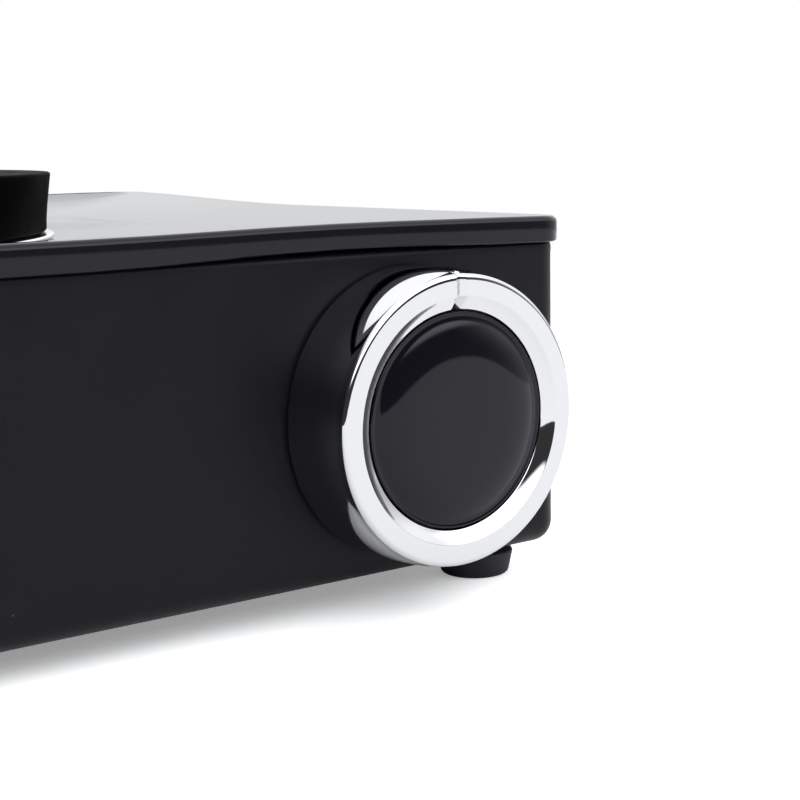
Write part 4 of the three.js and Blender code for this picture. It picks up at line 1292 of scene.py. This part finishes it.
def build_gland():
    low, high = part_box("cord_gland")
    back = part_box("body_shell")[1].y
    middle = middle_of("cord_gland")
    reach = high.y - back
    inner = low.y - back
    edge = 0.6 * MM
    points = [(GLAND_BORE, inner), (GLAND_BARREL, inner), (GLAND_BARREL, GAP), (GLAND_FLANGE, GAP)]
    points += arc((10.4 * MM, 1.6 * MM), edge, 0, 80, 5)
    ribs = 5
    for i in range(ribs):
        z = 2.8 * MM + i * 1.1 * MM
        r = 9.3 * MM - i * 0.45 * MM
        groove = r - edge
        points += [(r, z), (r, z + edge), (groove, z + 0.75 * MM), (groove, z + 1.0 * MM)]
    points += arc((6.4 * MM, reach - edge), edge, 10, 90, 5)
    points += [(GLAND_BORE + edge, reach), (GLAND_BORE, reach - edge)]
    turn = Matrix.Rotation(math.radians(-90), 4, "X")
    place = Matrix.Translation((middle.x, back, middle.z)) @ turn
    mesh = transformed(revolve("cord_bush", points, 96, closed=True), place)
    finished_piece("cord_bush", mesh, "black_plastic", "housing", ["cord_gland"])


# ---- inner works ----


def coat_frame():
    """Gives every frame node that still shows its finish."""
    slots = {part["node"]: part["material_slot"] for part in frame["record"]["subparts"]}
    for node, piece in frame["nodes"].items():
        if piece.hide_render:
            continue
        piece.data.materials.clear()
        piece.data.materials.append(FINISHES[slots[node]])


# ---- stage ----


def build_world(settings):
    """A soft studio: white to the camera, bright behind and above, dim in front."""
    world = bpy.data.worlds.new("studio")
    bpy.context.scene.world = world
    world.use_nodes = True
    tree = world.node_tree
    direction = add_node(tree, "ShaderNodeTexCoord").outputs["Generated"]

    def along(axis):
        node = add_node(
            tree,
            "ShaderNodeVectorMath",
            {0: direction, 1: Vector(axis).normalized()},
            operation="DOT_PRODUCT",
        )
        return node.outputs["Value"]

    def step(value, start, end):
        node = add_node(
            tree,
            "ShaderNodeMapRange",
            {"Value": value, "From Min": start, "From Max": end, "To Min": 0.0, "To Max": 1.0},
            interpolation_type="SMOOTHSTEP",
        )
        return node.outputs["Result"]

    height = along((0, 0, 1))
    behind = step(along((0.7, 0.71, 0)), -0.15, 0.35)
    rise = step(height, 0.02, 0.3)
    back = maths(tree, "MULTIPLY_ADD", rise, settings.back_rise, settings.back)
    facing = step(along((0.35, -0.9, 0.3)), 0.1, 0.5)
    lamp = maths(tree, "MULTIPLY", step(height, 0.3, 0.42), facing)
    front = maths(tree, "MULTIPLY_ADD", lamp, settings.softbox, settings.front)
    sky = step(height, 0.6, 0.9)
    dome = mixed(tree, sky, mixed(tree, behind, front, back), settings.zenith)
    seen = add_node(tree, "ShaderNodeLightPath").outputs["Is Camera Ray"]
    level = mixed(tree, seen, dome, 1.0)
    tint = add_node(
        tree, "ShaderNodeMix", {0: seen, 6: (*settings.light, 1), 7: (1, 1, 1, 1)}, data_type="RGBA"
    )
    background = tree.nodes["Background"]
    tree.links.new(tint.outputs[2], background.inputs["Color"])
    tree.links.new(level, background.inputs["Strength"])


def build_stage(settings):
    scene = bpy.context.scene
    scene.view_settings.view_transform = "Standard"
    low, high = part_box("body_shell")
    corner = Vector((high.x, low.y, low.z))
    camera_data = bpy.data.cameras.new("studio_camera")
    camera = add_object("studio_camera", camera_data)
    camera_data.lens = settings.lens
    camera_data.sensor_width = 36
    camera_data.clip_start = 0.01
    forward = Vector(
        (
            math.sin(settings.yaw) * math.cos(settings.pitch),
            math.cos(settings.yaw) * math.cos(settings.pitch),
            -math.sin(settings.pitch),
        )
    )
    right = Vector((math.cos(settings.yaw), -math.sin(settings.yaw), 0))
    up = right.cross(forward)
    rolled = right * math.cos(settings.roll) + up * math.sin(settings.roll)
    upright = up * math.cos(settings.roll) - right * math.sin(settings.roll)
    axes = Matrix((rolled, upright, -forward)).transposed()
    place = corner + Vector(settings.from_corner)
    camera.matrix_world = Matrix.Translation(place) @ axes.to_4x4()
    scene.camera = camera

    build_world(settings)

    build = bmesh.new()
    bmesh.ops.create_circle(build, cap_ends=True, radius=settings.floor_radius, segments=96)
    mesh = mesh_of(build, "floor")
    floor = add_object("floor", mesh)
    paper = Finish("floor_paper", Specular_IOR_Level=0.1)
    grain = paper.use(grain_group(), Scale=60.0, Coarseness=0.5)
    cloud = grain.outputs["Cloud"]
    paper.feed("Base Color", paper.blend(cloud, tinted(settings.floor, 0.985), settings.floor))
    paper.feed("Roughness", paper.ramp(cloud, 0.85, 0.95))
    seen = paper.add("ShaderNodeLightPath").outputs["Is Camera Ray"]
    fill = (settings.fill, settings.fill, settings.fill)
    paper.feed("Emission Color", paper.blend(seen, (0, 0, 0), fill))
    paper.shader.inputs["Emission Strength"].default_value = 1.0
    mesh.materials.append(paper.material)


# ---- operators ----


class HOTPLATE_OT_finishes(bpy.types.Operator):
    """Makes every finish"""

    bl_idname = "hotplate.finishes"
    bl_label = "Finishes"

    def execute(self, context):
        build_finishes(context.scene.hot_plate_finish)
        return {"FINISHED"}


class HOTPLATE_OT_stage(bpy.types.Operator):
    """Sets the camera, the light and the floor"""

    bl_idname = "hotplate.stage"
    bl_label = "Stage"

    def execute(self, context):
        build_stage(context.scene.hot_plate_stage)
        return {"FINISHED"}


class HOTPLATE_OT_housing(bpy.types.Operator):
    """Makes the wrapped housing"""

    bl_idname = "hotplate.housing"
    bl_label = "Housing"

    def execute(self, context):
        build_housing(context.scene.hot_plate_pressing)
        return {"FINISHED"}


class HOTPLATE_OT_top(bpy.types.Operator):
    """Makes the dished top panel"""

    bl_idname = "hotplate.top"
    bl_label = "Top"

    def execute(self, context):
        build_top(context.scene.hot_plate_pressing)
        return {"FINISHED"}


class HOTPLATE_OT_burner(bpy.types.Operator):
    """Makes the heating plate and its trim ring"""

    bl_idname = "hotplate.burner"
    bl_label = "Burner"

    def execute(self, context):
        build_burner(context.scene.hot_plate_burner)
        return {"FINISHED"}


class HOTPLATE_OT_sleeve(bpy.types.Operator):
    """Makes the knob's chromed sleeve"""

    bl_idname = "hotplate.sleeve"
    bl_label = "Knob sleeve"

    def execute(self, context):
        build_sleeve(context.scene.hot_plate_knob)
        return {"FINISHED"}


class HOTPLATE_OT_cap(bpy.types.Operator):
    """Makes the knob's polished cap"""

    bl_idname = "hotplate.cap"
    bl_label = "Knob cap"

    def execute(self, context):
        build_cap()
        return {"FINISHED"}


class HOTPLATE_OT_feet(bpy.types.Operator):
    """Makes the rubber feet and their screws"""

    bl_idname = "hotplate.feet"
    bl_label = "Feet"

    def execute(self, context):
        build_feet()
        return {"FINISHED"}


class HOTPLATE_OT_base(bpy.types.Operator):
    """Makes the slotted base cover"""

    bl_idname = "hotplate.base"
    bl_label = "Base cover"

    def execute(self, context):
        build_base()
        return {"FINISHED"}


class HOTPLATE_OT_lamp(bpy.types.Operator):
    """Makes the indicator lens"""

    bl_idname = "hotplate.lamp"
    bl_label = "Indicator lamp"

    def execute(self, context):
        build_lamp()
        return {"FINISHED"}


class HOTPLATE_OT_gland(bpy.types.Operator):
    """Makes the cord gland"""

    bl_idname = "hotplate.gland"
    bl_label = "Cord gland"

    def execute(self, context):
        build_gland()
        return {"FINISHED"}


class HOTPLATE_OT_works(bpy.types.Operator):
    """Coats the pieces that the frame itself supplies"""

    bl_idname = "hotplate.works"
    bl_label = "Inner works"

    def execute(self, context):
        coat_frame()
        return {"FINISHED"}


OPERATORS = (
    HOTPLATE_OT_finishes,
    HOTPLATE_OT_stage,
    HOTPLATE_OT_housing,
    HOTPLATE_OT_top,
    HOTPLATE_OT_burner,
    HOTPLATE_OT_sleeve,
    HOTPLATE_OT_cap,
    HOTPLATE_OT_feet,
    HOTPLATE_OT_base,
    HOTPLATE_OT_lamp,
    HOTPLATE_OT_gland,
    HOTPLATE_OT_works,
)


class HOTPLATE_PT_sidebar(bpy.types.Panel):
    """Lists the hot plate's pieces."""

    bl_idname = "HOTPLATE_PT_sidebar"
    bl_label = "Hot Plate"
    bl_space_type = "VIEW_3D"
    bl_region_type = "UI"
    bl_category = "Hot Plate"

    def draw(self, context):
        for operator in OPERATORS:
            self.layout.operator(operator.bl_idname)


CLASSES = [*SETTINGS.values(), *OPERATORS, HOTPLATE_PT_sidebar]


def register():
    for item in CLASSES:
        bpy.utils.register_class(item)
    for name, kind in SETTINGS.items():
        setattr(bpy.types.Scene, name, PointerProperty(type=kind))


def unregister():
    for name in SETTINGS:
        delattr(bpy.types.Scene, name)
    for item in reversed(CLASSES):
        bpy.utils.unregister_class(item)


def main():
    register()
    bpy.ops.hotplate.finishes()
    bpy.ops.hotplate.stage()
    bpy.ops.hotplate.housing()
    bpy.ops.hotplate.top()
    bpy.ops.hotplate.burner()
    bpy.ops.hotplate.sleeve()
    bpy.ops.hotplate.cap()
    bpy.ops.hotplate.feet()
    bpy.ops.hotplate.base()
    bpy.ops.hotplate.lamp()
    bpy.ops.hotplate.gland()
    bpy.ops.hotplate.works()


if __name__ == "__main__":
    main()
